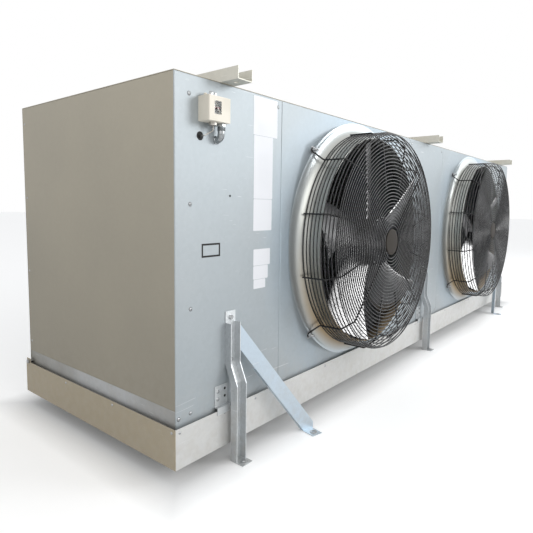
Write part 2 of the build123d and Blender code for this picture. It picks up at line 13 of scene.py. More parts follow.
import bpy
import numpy as np
from mathutils import Matrix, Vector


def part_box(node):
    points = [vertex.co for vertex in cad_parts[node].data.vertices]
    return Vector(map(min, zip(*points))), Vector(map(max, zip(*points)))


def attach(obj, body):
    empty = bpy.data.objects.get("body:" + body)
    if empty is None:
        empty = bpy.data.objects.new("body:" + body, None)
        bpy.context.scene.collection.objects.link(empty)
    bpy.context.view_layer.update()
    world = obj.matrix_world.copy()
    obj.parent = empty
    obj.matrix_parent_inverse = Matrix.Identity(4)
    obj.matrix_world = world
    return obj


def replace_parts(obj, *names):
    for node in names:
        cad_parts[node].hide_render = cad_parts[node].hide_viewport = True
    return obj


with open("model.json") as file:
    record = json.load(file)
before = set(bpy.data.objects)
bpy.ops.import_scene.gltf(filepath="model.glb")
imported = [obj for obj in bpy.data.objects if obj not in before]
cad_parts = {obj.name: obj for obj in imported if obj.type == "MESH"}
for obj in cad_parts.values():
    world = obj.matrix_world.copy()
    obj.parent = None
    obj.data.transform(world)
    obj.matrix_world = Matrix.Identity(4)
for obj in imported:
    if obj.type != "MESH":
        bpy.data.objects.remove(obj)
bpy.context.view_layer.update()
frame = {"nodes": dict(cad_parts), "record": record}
log = logging.getLogger("unit_cooler")

Array = np.ndarray
FRONT = -0.425
REAR = 0.425
HALF_LENGTH = 1.72
FIRST_SEAM = 1.27
SECOND_SEAM = 0.23
TRAY_RIM = 0.165
PANEL_BOTTOM = 0.155
PANEL_TOP = 1.1085
SHEET = 0.0015
SEAM_GAP = 0.0003
FAN_ALONG = 0.75
FAN_HEIGHT = 0.632
SLOTS = {
    "drawn_sheet": "cool_sheet", "hub_disc": "black_wire", "scale_face": "black_rubber",
    "painted_screw_shadow": "black_rubber", "scale_print": "cream_plastic", "blank_paper": "cream_plastic",
    "chrome": "bright_fastener", "brace_sheet": "galvanised_steel",
}


# ---------------------------------------------------------------- surfaces
@dataclass
class Surface:
    """Points and faces of one piece, kept as arrays until the mesh is written.

    Args:
        points: one row of x, y, z per point.
        faces: arrays of point numbers, one row per face, each array of one face size.
    """

    points: Array
    faces: list[Array]

    @staticmethod
    def grid(points: Array, wrap_rows: bool = False, wrap_columns: bool = False) -> "Surface":
        """Quads between the neighbours of a grid of points.

        Args:
            points: the grid, as rows x columns x 3.
            wrap_rows: the last row joins the first.
            wrap_columns: the last column joins the first.

        Returns:
            The surface.
        """
        rows, columns = points.shape[:2]
        number = np.arange(rows * columns).reshape(rows, columns)
        near_r = np.arange(rows if wrap_rows else rows - 1)
        near_c = np.arange(columns if wrap_columns else columns - 1)
        row, column = np.meshgrid(near_r, near_c, indexing="ij")
        far_row, far_column = (row + 1) % rows, (column + 1) % columns
        corners = (
            number[row, column], number[row, far_column],
            number[far_row, far_column], number[far_row, column],
        )
        quads = np.stack([corner.ravel() for corner in corners], axis=1)
        return Surface(points.reshape(-1, 3), [quads])

    @staticmethod
    def join(parts: list["Surface"]) -> "Surface":
        """One surface of several, each keeping its own points."""
        faces, start = [], 0
        for part in parts:
            faces += [rows + start for rows in part.faces]
            start += len(part.points)
        return Surface(np.concatenate([part.points for part in parts]), faces)

    def placed(self, turn: Array, shift: Array) -> "Surface":
        """The surface turned by a 3 x 3 matrix, then moved."""
        return Surface(self.points @ np.asarray(turn).T + np.asarray(shift), self.faces)

    def repeated(self, turns: Array, shifts: Array) -> "Surface":
        """Copies of the surface, one for each turn and shift, worked out together.

        Args:
            turns: copies x 3 x 3.
            shifts: copies x 3.

        Returns:
            One surface with every copy.
        """
        points = np.einsum("nij,pj->npi", turns, self.points) + shifts[:, None, :]
        start = np.arange(len(shifts)) * len(self.points)
        faces = [(rows[None] + start[:, None, None]).reshape(-1, rows.shape[1]) for rows in self.faces]
        return Surface(points.reshape(-1, 3), faces)

    def outward(self) -> "Surface":
        """The closed surface with its faces outwards: its signed volume, summed over fans, is positive."""
        volume = 0.0
        for rows in self.faces:
            first = self.points[rows[:, 0]]
            for step in range(1, rows.shape[1] - 1):
                cross = np.cross(self.points[rows[:, step]], self.points[rows[:, step + 1]])
                volume += float(np.sum(first * cross))
        faces = self.faces if volume > 0 else [rows[:, ::-1] for rows in self.faces]
        return Surface(self.points, faces)

    def piece(
        self, name: str, finish: bpy.types.Material, body: str = "cabinet", smooth: float = 40.0
    ) -> bpy.types.Object:
        """Writes the mesh, dresses it and lets it ride on a body.

        Args:
            name: the piece's name.
            finish: its material.
            body: the body it moves with.
            smooth: edges flatter than this angle in degrees are shaded smooth.

        Returns:
            The new object.
        """
        mesh = bpy.data.meshes.new(name)
        mesh.from_pydata(self.points.tolist(), [], [row for rows in self.faces for row in rows.tolist()])
        mesh.update()
        thing = bpy.data.objects.new(name, mesh)
        bpy.context.scene.collection.objects.link(thing)
        mesh.materials.append(finish)
        mesh.shade_smooth()
        mesh.set_sharp_from_angle(angle=np.radians(smooth))
        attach(thing, body)
        log.info("%s: %d points", name, len(self.points))
        return thing


def unit(vectors: Array) -> Array:
    """Each row brought to length 1."""
    return vectors / np.linalg.norm(vectors, axis=-1, keepdims=True)


def circle(count: int) -> Array:
    """Angles of a full turn in radians, without the last, which is the first again."""
    return np.linspace(0, 2 * np.pi, count, endpoint=False)


def tube(path: Array, radius: float, side: Array, closed: bool = False, facets: int = 8) -> Surface:
    """A round wire along a path. Each ring lies across the path's direction; its first axis is the direction
    crossed with a fixed side vector, and its second is the direction crossed with the first.

    Args:
        path: points x 3.
        radius: the wire's radius.
        side: a vector that the path never runs along.
        closed: the path's end joins its start.
        facets: points round the wire.

    Returns:
        The wire, closed at both ends.
    """
    if closed:
        run = unit(np.roll(path, -1, axis=0) - np.roll(path, 1, axis=0))
    else:
        run = unit(np.gradient(path, axis=0))
    first = unit(np.cross(run, side))
    second = np.cross(run, first)
    turn = circle(facets)
    ring = np.cos(turn)[None, :, None] * first[:, None] + np.sin(turn)[None, :, None] * second[:, None]
    rings = path[:, None] + radius * ring
    if not closed:
        start, end = np.repeat(path[:1, None], facets, 1), np.repeat(path[-1:, None], facets, 1)
        rings = np.concatenate([start, rings, end])
    return Surface.grid(rings, wrap_rows=closed, wrap_columns=True).outward()


def revolved(profile: Array, count: int = 96, closed: bool = False) -> Surface:
    """A profile of radius and height turned about local Z: x and y are the radius times the cosine and
    the sine of the turn, z is the height.

    Args:
        profile: points x 2.
        count: steps round the axis.
        closed: the profile's end joins its start.

    Returns:
        The turned surface.
    """
    turn = circle(count)
    radius = profile[:, :1]
    height = np.broadcast_to(profile[:, 1:], (len(profile), count))
    points = np.stack([radius * np.cos(turn), radius * np.sin(turn), height], -1)
    return Surface.grid(points, wrap_rows=closed, wrap_columns=True)


def rounded_corner(line: Array, reach: float, steps: int = 6) -> Array:
    """A line of straight runs with every inner corner rounded: the corner and two points a reach away on its
    runs carry a quadratic curve.

    Args:
        line: points x any number of axes.
        reach: how far from the corner the curve starts.
        steps: points of each curve.

    Returns:
        The rounded line.
    """
    before = unit(line[:-2] - line[1:-1]) * reach + line[1:-1]
    after = unit(line[2:] - line[1:-1]) * reach + line[1:-1]
    share = np.linspace(0, 1, steps)[None, :, None]
    corner = line[1:-1, None]
    bend = (1 - share) ** 2 * before[:, None] + 2 * share * (1 - share) * corner + share**2 * after[:, None]
    return np.concatenate([line[:1], bend.reshape(-1, line.shape[1]), line[-1:]])


def axis_turn(axis: int, angles: Array) -> Array:
    """Matrices that turn by each angle about one axis, as copies x 3 x 3."""
    first, second = (axis + 1) % 3, (axis + 2) % 3
    turns = np.zeros((len(angles), 3, 3))
    turns[:, axis, axis] = 1
    turns[:, first, first] = turns[:, second, second] = np.cos(angles)
    turns[:, second, first] = np.sin(angles)
    turns[:, first, second] = -np.sin(angles)
    return turns


class Facing(Enum):
    """Which way a small part's local Z points."""

    FORWARD = "forward"
    REARWARD = "rearward"
    LEFT = "left"
    UP = "up"

    def turn(self) -> Array:
        """The matrix that brings local Z to this direction."""
        return {
            Facing.FORWARD: np.array([[1.0, 0, 0], [0, 0, -1], [0, 1, 0]]),
            Facing.REARWARD: np.array([[-1.0, 0, 0], [0, 0, 1], [0, 1, 0]]),
            Facing.LEFT: np.array([[0, 0, -1.0], [-1, 0, 0], [0, 1, 0]]),
            Facing.UP: np.eye(3),
        }[self]


def spread(part: Surface, facing: Facing, places: Array) -> Surface:
    """The same small part at several places, all facing one way."""
    places = np.asarray(places, float)
    return part.repeated(np.repeat(facing.turn()[None], len(places), axis=0), places)


# ---------------------------------------------------------------- node trees
class Nodes:
    """A node tree with short calls for adding and linking nodes."""

    def __init__(self, tree: bpy.types.NodeTree) -> None:
        """Keeps the tree."""
        self.tree = tree

    def add(self, kind: str, inputs: dict | None = None, **settings: object) -> bpy.types.Node:
        """Adds a node.

        Args:
            kind: the node's type without the word ShaderNode.
            inputs: socket name or number to a value or to another node's output.
            settings: attributes of the node.

        Returns:
            The node.
        """
        made = self.tree.nodes.new("ShaderNode" + kind)
        for key, value in settings.items():
            setattr(made, key, value)
        for key, value in (inputs or {}).items():
            if isinstance(value, bpy.types.NodeSocket):
                self.tree.links.new(value, made.inputs[key])
            else:
                made.inputs[key].default_value = value
        return made

    def math(self, operation: str, first: object, second: object = 0.0) -> bpy.types.NodeSocket:
        """A math node's result."""
        return self.add("Math", {0: first, 1: second}, operation=operation).outputs[0]

    def blend(self, share: object, low: object, high: object) -> bpy.types.NodeSocket:
        """A colour between two, by a share."""
        mixed = self.add("Mix", data_type="RGBA")
        for key, value in ((0, share), (6, low), (7, high)):
            if isinstance(value, bpy.types.NodeSocket):
                self.tree.links.new(value, mixed.inputs[key])
            else:
                mixed.inputs[key].default_value = value
        return mixed.outputs[2]

    def ramp(
        self, value: object, low: float, high: float, to_low: float, to_high: float
    ) -> bpy.types.NodeSocket:
        """A value brought from one range to another and kept inside it."""
        given = {0: value, 1: low, 2: high, 3: to_low, 4: to_high}
        return self.add("MapRange", given, clamp=True).outputs[0]


def new_group(name: str, inputs: dict[str, float], outputs: tuple[str, ...]) -> tuple[Nodes, dict, dict]:
    """An empty node group with float sockets.

    Args:
        name: the group's name.
        inputs: socket names and their defaults.
        outputs: output names.

    Returns:
        Its nodes, its input sockets by name and the output node's sockets by name.
    """
    tree = bpy.data.node_groups.new(name, "ShaderNodeTree")
    for key, value in inputs.items():
        tree.interface.new_socket(key, in_out="INPUT", socket_type="NodeSocketFloat").default_value = value
    for key in outputs:
        tree.interface.new_socket(key, in_out="OUTPUT", socket_type="NodeSocketFloat")
    nodes = Nodes(tree)
    given = tree.nodes.new("NodeGroupInput").outputs
    result = tree.nodes.new("NodeGroupOutput").inputs
    return nodes, {key: given[key] for key in inputs}, {key: result[key] for key in outputs}


def sheet_grain_group() -> bpy.types.NodeTree:
    """Rolled sheet: broad cloudy tone, faint crystal spangle, rolling lines and a fine height."""
    outputs = ("Tone", "Spangle", "Gloss", "Height")
    nodes, given, result = new_group("sheet_grain", {"Spangle": 60.0, "Lines": 8.0}, outputs)
    place = nodes.add("TexCoord").outputs["Object"]
    cloudy = {"Vector": place, "Scale": 1.7, "Detail": 3.0, "Roughness": 0.55}
    cloud = nodes.add("TexNoise", cloudy).outputs[0]
    cells = nodes.add("TexVoronoi", {"Vector": place, "Scale": given["Spangle"], "Randomness": 1.0})
    grey = nodes.add("RGBToBW", {0: cells.outputs["Color"]}).outputs[0]
    wide = nodes.add("Mapping", {"Vector": place, "Scale": (0.6, 0.6, 14.0)}).outputs[0]
    lines = nodes.add("TexNoise", {"Vector": wide, "Scale": given["Lines"], "Detail": 5.0}).outputs[0]
    fine = nodes.add("TexNoise", {"Vector": place, "Scale": 420.0, "Detail": 2.0}).outputs[0]
    links = nodes.tree.links
    links.new(cloud, result["Tone"])
    links.new(grey, result["Spangle"])
    links.new(nodes.math("MULTIPLY_ADD", lines, 0.6), result["Gloss"])
    height = nodes.math("ADD", nodes.math("MULTIPLY", fine, 0.5), nodes.math("MULTIPLY", cloud, 2.0))
    links.new(height, result["Height"])
    return nodes.tree


def scuff_and_painted_light_group() -> bpy.types.NodeTree:
    """Handling marks and masks for painted light: short bright scratches in patches, a dust share that grows
    towards the floor, a share that rises from the tray to the top for painted light, and a mask of the faces
    beyond the tray's ends for painted shade."""
    outputs = ("Scratch", "Dust", "PaintedLightRise", "PaintedShadeEnds")
    nodes, given, result = new_group("scuffs_and_painted_light", {"Scale": 9.0, "Amount": 0.5}, outputs)
    place = nodes.add("TexCoord").outputs["Object"]
    bent = nodes.add("TexNoise", {"Vector": place, "Scale": 2.3, "Detail": 2.0}).outputs["Color"]
    turned = {"Vector": place, "Rotation": (0.4, 0.7, 0.3), "Scale": (1.0, 1.0, 26.0)}
    slanted = nodes.add("Mapping", turned).outputs[0]
    warped = nodes.add("VectorMath", {0: slanted, 1: bent}, operation="ADD").outputs[0]
    hair = nodes.add("TexNoise", {"Vector": warped, "Scale": given["Scale"], "Detail": 1.0}).outputs[0]
    thin = nodes.ramp(hair, 0.735, 0.76, 0.0, 1.0)
    patch = nodes.add("TexNoise", {"Vector": place, "Scale": 3.1, "Detail": 1.0}).outputs[0]
    patches = nodes.ramp(patch, 0.5, 0.62, 0.0, 1.0)
    links = nodes.tree.links
    marked = nodes.math("MULTIPLY", nodes.math("MULTIPLY", thin, patches), given["Amount"])
    links.new(marked, result["Scratch"])
    along, _, height = nodes.add("SeparateXYZ", {0: place}).outputs
    # Painted light masks: a share up the height, and the faces beyond the tray's ends.
    links.new(nodes.ramp(height, 0.15, 1.10, 0.0, 1.0), result["PaintedLightRise"])
    links.new(nodes.ramp(nodes.math("ABSOLUTE", along), 1.7300, 1.7310, 0.0, 1.0), result["PaintedShadeEnds"])
    low = nodes.ramp(height, 0.0, 0.35, 1.0, 0.0)
    speck = nodes.add("TexNoise", {"Vector": place, "Scale": 38.0, "Detail": 4.0}).outputs[0]
    links.new(nodes.math("MULTIPLY", low, nodes.ramp(speck, 0.4, 0.75, 0.0, 1.0)), result["Dust"])
    return nodes.tree


def fan_painted_light_group() -> bpy.types.NodeTree:
    """Masks for painted shade and reflection round each fan's axis: 0 at the collar and 1 at the flare's outer
    edge, 0 below to 1 above, and a cloudy patch on the panel that fades away from the flare."""
    nodes, _, result = new_group("fan_painted_light", {}, ("Reach", "PaintedLightRise", "PaintedHalo"))
    place = nodes.add("TexCoord").outputs["Object"]
    along, _, height = nodes.add("SeparateXYZ", {0: place}).outputs
    side = nodes.math("SUBTRACT", nodes.math("ABSOLUTE", along), FAN_ALONG)
    lift = nodes.math("SUBTRACT", height, FAN_HEIGHT)
    square = nodes.math("ADD", nodes.math("MULTIPLY", side, side), nodes.math("MULTIPLY", lift, lift))
    links = nodes.tree.links
    radius = nodes.math("SQRT", square)
    links.new(nodes.ramp(radius, 0.424, 0.466, 0.0, 1.0), result["Reach"])
    cloud = nodes.add("TexNoise", {"Vector": place, "Scale": 3.5, "Detail": 2.0}).outputs[0]
    fade = nodes.ramp(radius, 0.47, 0.64, 1.0, 0.0)
    links.new(nodes.math("MULTIPLY", fade, nodes.ramp(cloud, 0.35, 0.65, 0.25, 1.0)), result["PaintedHalo"])
    links.new(nodes.ramp(lift, -0.32, 0.02, 0.0, 1.0), result["PaintedLightRise"])
    return nodes.tree


GROUPS: dict[str, bpy.types.NodeTree] = {}


def grouped(nodes: Nodes, name: str, inputs: dict[str, float]) -> bpy.types.NodeOutputs:
    """A node of one of the shared groups, with its own values."""
    made = nodes.add("Group", node_tree=GROUPS[name])
    for key, value in inputs.items():
        made.inputs[key].default_value = value
    return made.outputs


def shades(colour: tuple[float, float, float], factor: float) -> tuple[float, float, float, float]:
    """A colour made lighter or darker by a factor, with full alpha."""
    return (*(min(1.0, part * factor) for part in colour), 1.0)


@dataclass(frozen=True)
class SheetFinish:
    """Zinc-coated or aluminised sheet: cloudy tone, spangle, rolling lines, scratches and floor dust. Where
    set, it also takes painted light and shade: up the height, at the tray's ends, round the fans and on
    forward faces.

    Args:
        name: the material's name.
        colour: its middle colour.
        metallic: share of metal.
        roughness: middle roughness.
        spangle: size of the crystal pattern, as cells per metre.
        contrast: how far the tone swings.
        scratches: strength of the handling marks.
        tint: colour that the cloudy patches lean to.
        painted_light_rise: painted light and shade, factors of the tone at the floor and at the top.
        ends: painted shade, a darker colour for the faces beyond the tray's ends, or none.
        painted_collar_shade: painted shade and reflection, colours near a fan's collar at its foot and its
            middle, or none.
        painted_halo: painted reflection, a colour that the sheet takes on round a fan, or none.
        forward: painted light, a factor of the tone on faces that look forward.
    """

    name: str
    colour: tuple[float, float, float]
    metallic: float = 0.75
    roughness: float = 0.42
    spangle: float = 90.0
    contrast: float = 0.10
    scratches: float = 0.5
    tint: tuple[float, float, float] = (0.60, 0.62, 0.64)
    painted_light_rise: tuple[float, float] = (1.0, 1.0)
    ends: tuple[float, float, float] | None = None
    painted_collar_shade: tuple[tuple[float, float, float], tuple[float, float, float]] | None = None
    painted_halo: tuple[float, float, float] | None = None
    forward: float = 1.0

    def material(self) -> bpy.types.Material:
        """The finish as a material."""
        made = bpy.data.materials.new(self.name)
        made.use_nodes = True
        nodes = Nodes(made.node_tree)
        shader = made.node_tree.nodes["Principled BSDF"]
        grain = grouped(nodes, "sheet_grain", {"Spangle": self.spangle, "Lines": 8.0})
        marks = grouped(nodes, "scuffs_and_painted_light", {"Scale": 9.0, "Amount": self.scratches})
        swing = nodes.ramp(grain["Tone"], 0.3, 0.7, 0.0, 1.0)
        # Painted light and shade: the tone is scaled by one factor at the floor and another at the top,
        # blended up the height.
        painted_floor_factor, painted_top_factor = self.painted_light_rise
        foot = nodes.blend(swing, shades(self.colour, painted_floor_factor), shades(self.tint, painted_floor_factor))
        head = nodes.blend(swing, shades(self.colour, painted_top_factor), shades(self.tint, painted_top_factor))
        broad = nodes.blend(marks["PaintedLightRise"], foot, head)
        # Painted shade: the faces beyond the tray's ends take a darker, warmer colour.
        if self.ends:
            broad = nodes.blend(marks["PaintedShadeEnds"], broad, shades(self.ends, 1.0))
        # Painted light: faces that look forward are made lighter by the factor forward.
        if self.forward != 1.0:
            side = nodes.add("TexCoord").outputs["Normal"]
            ahead = nodes.math("MULTIPLY", nodes.add("SeparateXYZ", {0: side}).outputs[1], -1.0)
            front = nodes.ramp(ahead, 0.5, 0.9, 0.0, 1.0)
            broad = nodes.blend(front, broad, shades(self.colour, self.forward))
        if self.painted_collar_shade or self.painted_halo:
            fan_light_masks = grouped(nodes, "fan_painted_light", {})
        # Painted shade and reflection: near each fan's collar the nozzle is darker, brown at its foot and grey
        # at its middle.
        if self.painted_collar_shade:
            near = nodes.blend(fan_light_masks["PaintedLightRise"], shades(self.painted_collar_shade[0], 1.0), shades(self.painted_collar_shade[1], 1.0))
            broad = nodes.blend(fan_light_masks["Reach"], near, broad)
        # Painted reflection: a cloudy bluish glow on the panel round each fan.
        if self.painted_halo:
            broad = nodes.blend(fan_light_masks["PaintedHalo"], broad, shades(self.painted_halo, 1.0))
        spangled = nodes.blend(
            nodes.math("MULTIPLY", grain["Spangle"], self.contrast), broad, shades(self.colour, 0.45)
        )
        scratched = nodes.blend(marks["Scratch"], spangled, shades((0.9, 0.9, 0.9), 1.0))
        dusty = nodes.blend(nodes.math("MULTIPLY", marks["Dust"], 0.35), scratched, (0.50, 0.46, 0.40, 1.0))
        links = made.node_tree.links
        links.new(dusty, shader.inputs["Base Color"])
        low, high = self.roughness - 0.07, self.roughness + 0.10
        links.new(nodes.ramp(grain["Gloss"], 0.15, 0.55, low, high), shader.inputs["Roughness"])
        shader.inputs["Metallic"].default_value = self.metallic
        bump = nodes.add("Bump", {"Height": grain["Height"], "Strength": 0.10, "Distance": 0.0006})
        links.new(bump.outputs[0], shader.inputs["Normal"])
        return made


@dataclass(frozen=True)
class CoatedFinish:
    """Paint, plastic or rubber with a fine skin, faint wear and some dust.

    Args:
        name: the material's name.
        colour: its colour.
        worn: colour of its lighter, dusty parts.
        roughness: middle roughness.
        skin: grain of the surface, as bumps per metre.
        depth: strength of the bump.
        gloss: specular level of the skin.
        coat: weight of a clear coat over it.
    """

    name: str
    colour: tuple[float, float, float]
    worn: tuple[float, float, float]
    roughness: float = 0.4
    skin: float = 900.0
    depth: float = 0.15
    gloss: float = 0.5
    coat: float = 0.0

    def material(self) -> bpy.types.Material:
        """The finish as a material."""
        made = bpy.data.materials.new(self.name)
        made.use_nodes = True
        nodes = Nodes(made.node_tree)
        shader = made.node_tree.nodes["Principled BSDF"]
        place = nodes.add("TexCoord").outputs["Object"]
        marks = grouped(nodes, "scuffs_and_painted_light", {"Scale": 14.0, "Amount": 0.5})
        cloud = nodes.add("TexNoise", {"Vector": place, "Scale": 11.0, "Detail": 4.0}).outputs[0]
        dust = nodes.math("ADD", nodes.ramp(cloud, 0.45, 0.8, 0.0, 0.5), marks["Scratch"])
        colour = nodes.blend(dust, shades(self.colour, 1.0), shades(self.worn, 1.0))
        links = made.node_tree.links
        links.new(colour, shader.inputs["Base Color"])
        rough = nodes.ramp(cloud, 0.3, 0.7, self.roughness - 0.06, self.roughness + 0.08)
        links.new(rough, shader.inputs["Roughness"])
        shader.inputs["Specular IOR Level"].default_value = self.gloss
        shader.inputs["Coat Weight"].default_value = self.coat
        fine = nodes.add("TexNoise", {"Vector": place, "Scale": self.skin, "Detail": 2.0}).outputs[0]
        bump = nodes.add("Bump", {"Height": fine, "Strength": self.depth, "Distance": 0.0003})
        links.new(bump.outputs[0], shader.inputs["Normal"])
        return made


@dataclass(frozen=True)
class BrightFinish:
    """Plated or drawn metal with a soft mottled gloss.

    Args:
        name: the material's name.
        colour: its colour.
        dull: colour of its duller patches.
        roughness: middle roughness.
    """

    name: str
    colour: tuple[float, float, float]
    dull: tuple[float, float, float]
    roughness: float = 0.25

    def material(self) -> bpy.types.Material:
        """The finish as a material."""
        made = bpy.data.materials.new(self.name)
        made.use_nodes = True
        nodes = Nodes(made.node_tree)
        shader = made.node_tree.nodes["Principled BSDF"]
        grain = grouped(nodes, "sheet_grain", {"Spangle": 300.0, "Lines": 30.0})
        mottle = nodes.ramp(grain["Spangle"], 0.2, 0.8, 0.0, 0.6)
        links = made.node_tree.links
        tone = nodes.blend(mottle, shades(self.colour, 1.0), shades(self.dull, 1.0))
        links.new(tone, shader.inputs["Base Color"])
        rough = nodes.ramp(grain["Gloss"], 0.15, 0.55, self.roughness - 0.06, self.roughness + 0.12)
        links.new(rough, shader.inputs["Roughness"])
        shader.inputs["Metallic"].default_value = 1.0
        bump = nodes.add("Bump", {"Height": grain["Height"], "Strength": 0.12, "Distance": 0.0004})
        links.new(bump.outputs[0], shader.inputs["Normal"])
        return made


@dataclass(frozen=True)
class ClearFinish:
    """Clear plastic pane with a slightly uneven gloss."""

    name: str

    def material(self) -> bpy.types.Material:
        """The finish as a material."""
        made = bpy.data.materials.new(self.name)
        made.use_nodes = True
        nodes = Nodes(made.node_tree)
        shader = made.node_tree.nodes["Principled BSDF"]
        place = nodes.add("TexCoord").outputs["Object"]
        cloud = nodes.add("TexNoise", {"Vector": place, "Scale": 60.0}).outputs[0]
        made.node_tree.links.new(nodes.ramp(cloud, 0.3, 0.7, 0.02, 0.10), shader.inputs["Roughness"])
        shader.inputs["Base Color"].default_value = (0.93, 0.95, 0.95, 1.0)
        shader.inputs["Transmission Weight"].default_value = 1.0
        shader.inputs["IOR"].default_value = 1.2
        return made


FINISHES = {
    # cool_sheet: its height factors and the bluish glow round the fans are painted light, shade and
    # reflection.
    "cool_sheet": SheetFinish(
        "cool_sheet", (0.50, 0.555, 0.585), metallic=0.55, scratches=0.35, tint=(0.57, 0.61, 0.63),
        painted_light_rise=(0.80, 0.76), painted_halo=(0.47, 0.56, 0.63),
    ),
    # warm_sheet: darker than cool_sheet partly as painted shade on the end face; its height factors paint it
    # lighter towards the top.
    "warm_sheet": SheetFinish(
        "warm_sheet", (0.345, 0.320, 0.265), metallic=0.55, roughness=0.50, contrast=0.04, scratches=0.0,
        tint=(0.385, 0.355, 0.290), painted_light_rise=(0.88, 1.20),
    ),
    "base_sheet": SheetFinish("base_sheet", (0.24, 0.225, 0.19), roughness=0.50),
    # tray_sheet: its ends colour is painted shade on the tray's end walls.
    "tray_sheet": SheetFinish(
        "tray_sheet", (0.66, 0.66, 0.645), metallic=0.55, roughness=0.44, scratches=0.4,
        tint=(0.72, 0.715, 0.70), ends=(0.42, 0.365, 0.270),
    ),
    # drawn_sheet: the two colours near the collar are painted shade and reflection.
    "drawn_sheet": SheetFinish(
        "drawn_sheet", (0.62, 0.69, 0.73), metallic=0.80, roughness=0.24, contrast=0.06, scratches=0.2,
        tint=(0.62, 0.66, 0.68), painted_collar_shade=((0.42, 0.31, 0.18), (0.54, 0.55, 0.52)),
    ),
    "coil_aluminium": SheetFinish("coil_aluminium", (0.62, 0.63, 0.64), metallic=0.9, roughness=0.35),
    "zinc_channel": SheetFinish("zinc_channel", (0.66, 0.65, 0.58), roughness=0.48, tint=(0.72, 0.70, 0.64)),
    # galvanised_steel: forward paints light on the faces that look forward.
    "galvanised_steel": SheetFinish(
        "galvanised_steel", (0.58, 0.60, 0.61), metallic=0.80, roughness=0.34, spangle=140.0, contrast=0.22,
        forward=1.40,
    ),
    # A lighter, bluer copy of galvanised_steel for the braces: a painted sheen.
    "brace_sheet": SheetFinish(
        "brace_sheet", (0.56, 0.66, 0.75), metallic=0.65, roughness=0.28, spangle=160.0, contrast=0.10,
        scratches=0.6, tint=(0.66, 0.75, 0.83),
    ),
    "copper_tube": BrightFinish("copper_tube", (0.72, 0.38, 0.24), (0.46, 0.24, 0.16), 0.32),
    "bright_fastener": BrightFinish("bright_fastener", (0.50, 0.51, 0.52), (0.32, 0.33, 0.33), 0.24),
    "chrome": BrightFinish("chrome", (0.46, 0.48, 0.49), (0.24, 0.25, 0.25), 0.14),
    "bellows_metal": BrightFinish("bellows_metal", (0.60, 0.58, 0.54), (0.42, 0.40, 0.37), 0.30),
    "black_wire": CoatedFinish("black_wire", (0.006, 0.006, 0.007), (0.016, 0.015, 0.015), 0.24, 700.0),
    "hub_disc": CoatedFinish(
        "hub_disc", (0.030, 0.025, 0.020), (0.045, 0.038, 0.031), 0.60, 700.0, gloss=0.2
    ),
    "motor_paint": CoatedFinish("motor_paint", (0.012, 0.014, 0.020), (0.040, 0.046, 0.062), 0.26, 500.0),
    "blade_paint": CoatedFinish(
        "blade_paint", (0.008, 0.008, 0.009), (0.015, 0.015, 0.016), 0.32, 400.0, 0.02, gloss=1.0, coat=0.3
    ),
    "cream_plastic": CoatedFinish("cream_plastic", (0.77, 0.72, 0.62), (0.58, 0.54, 0.46), 0.45, 1600.0),
    "black_rubber": CoatedFinish("black_rubber", (0.012, 0.012, 0.012), (0.030, 0.029, 0.027), 0.7, 800.0),
    # Painted shadow: a dark ring under each front panel screw.
    "painted_screw_shadow": CoatedFinish("painted_screw_shadow", (0.060, 0.062, 0.066), (0.110, 0.110, 0.110), 0.7, 800.0),
    "pointer_red": CoatedFinish("pointer_red", (0.22, 0.020, 0.016), (0.28, 0.05, 0.04), 0.4),
    "scale_face": CoatedFinish("scale_face", (0.010, 0.010, 0.010), (0.018, 0.017, 0.016), 0.5, 1200.0),
    "scale_print": CoatedFinish("scale_print", (0.34, 0.33, 0.32), (0.28, 0.27, 0.26), 0.5, 1200.0),
    "blank_paper": CoatedFinish("blank_paper", (0.78, 0.79, 0.82), (0.72, 0.73, 0.76), 0.42, 2200.0, 0.05),
    "clear_window": ClearFinish("clear_window"),
}


class Workshop:
    """Keeps one material per finish and dresses the solids with them."""

    def __init__(self) -> None:
        """Builds the shared groups."""
        GROUPS["sheet_grain"] = sheet_grain_group()
        GROUPS["scuffs_and_painted_light"] = scuff_and_painted_light_group()
        GROUPS["fan_painted_light"] = fan_painted_light_group()
        self.made: dict[str, bpy.types.Material] = {}

    def finish(self, name: str) -> bpy.types.Material:
        """The material of a finish, made once."""
        if name not in self.made:
            self.made[name] = FINISHES[name].material()
            self.made[name]["slot"] = SLOTS.get(name, name)
        return self.made[name]

    def dress_solids(self) -> None:
        """Gives every carried-over solid the finish of its slot."""
        for part in frame["record"]["subparts"]:
            solid = frame["nodes"][part["node"]]
            solid.data.materials.clear()
            # The braces take a lighter, bluer copy of their slot's finish, a painted sheen.
            name = "brace_sheet" if "_brace_" in part["node"] else part["material_slot"]
            solid.data.materials.append(self.finish(name))
        log.info("dressed %d solids", len(frame["nodes"]))


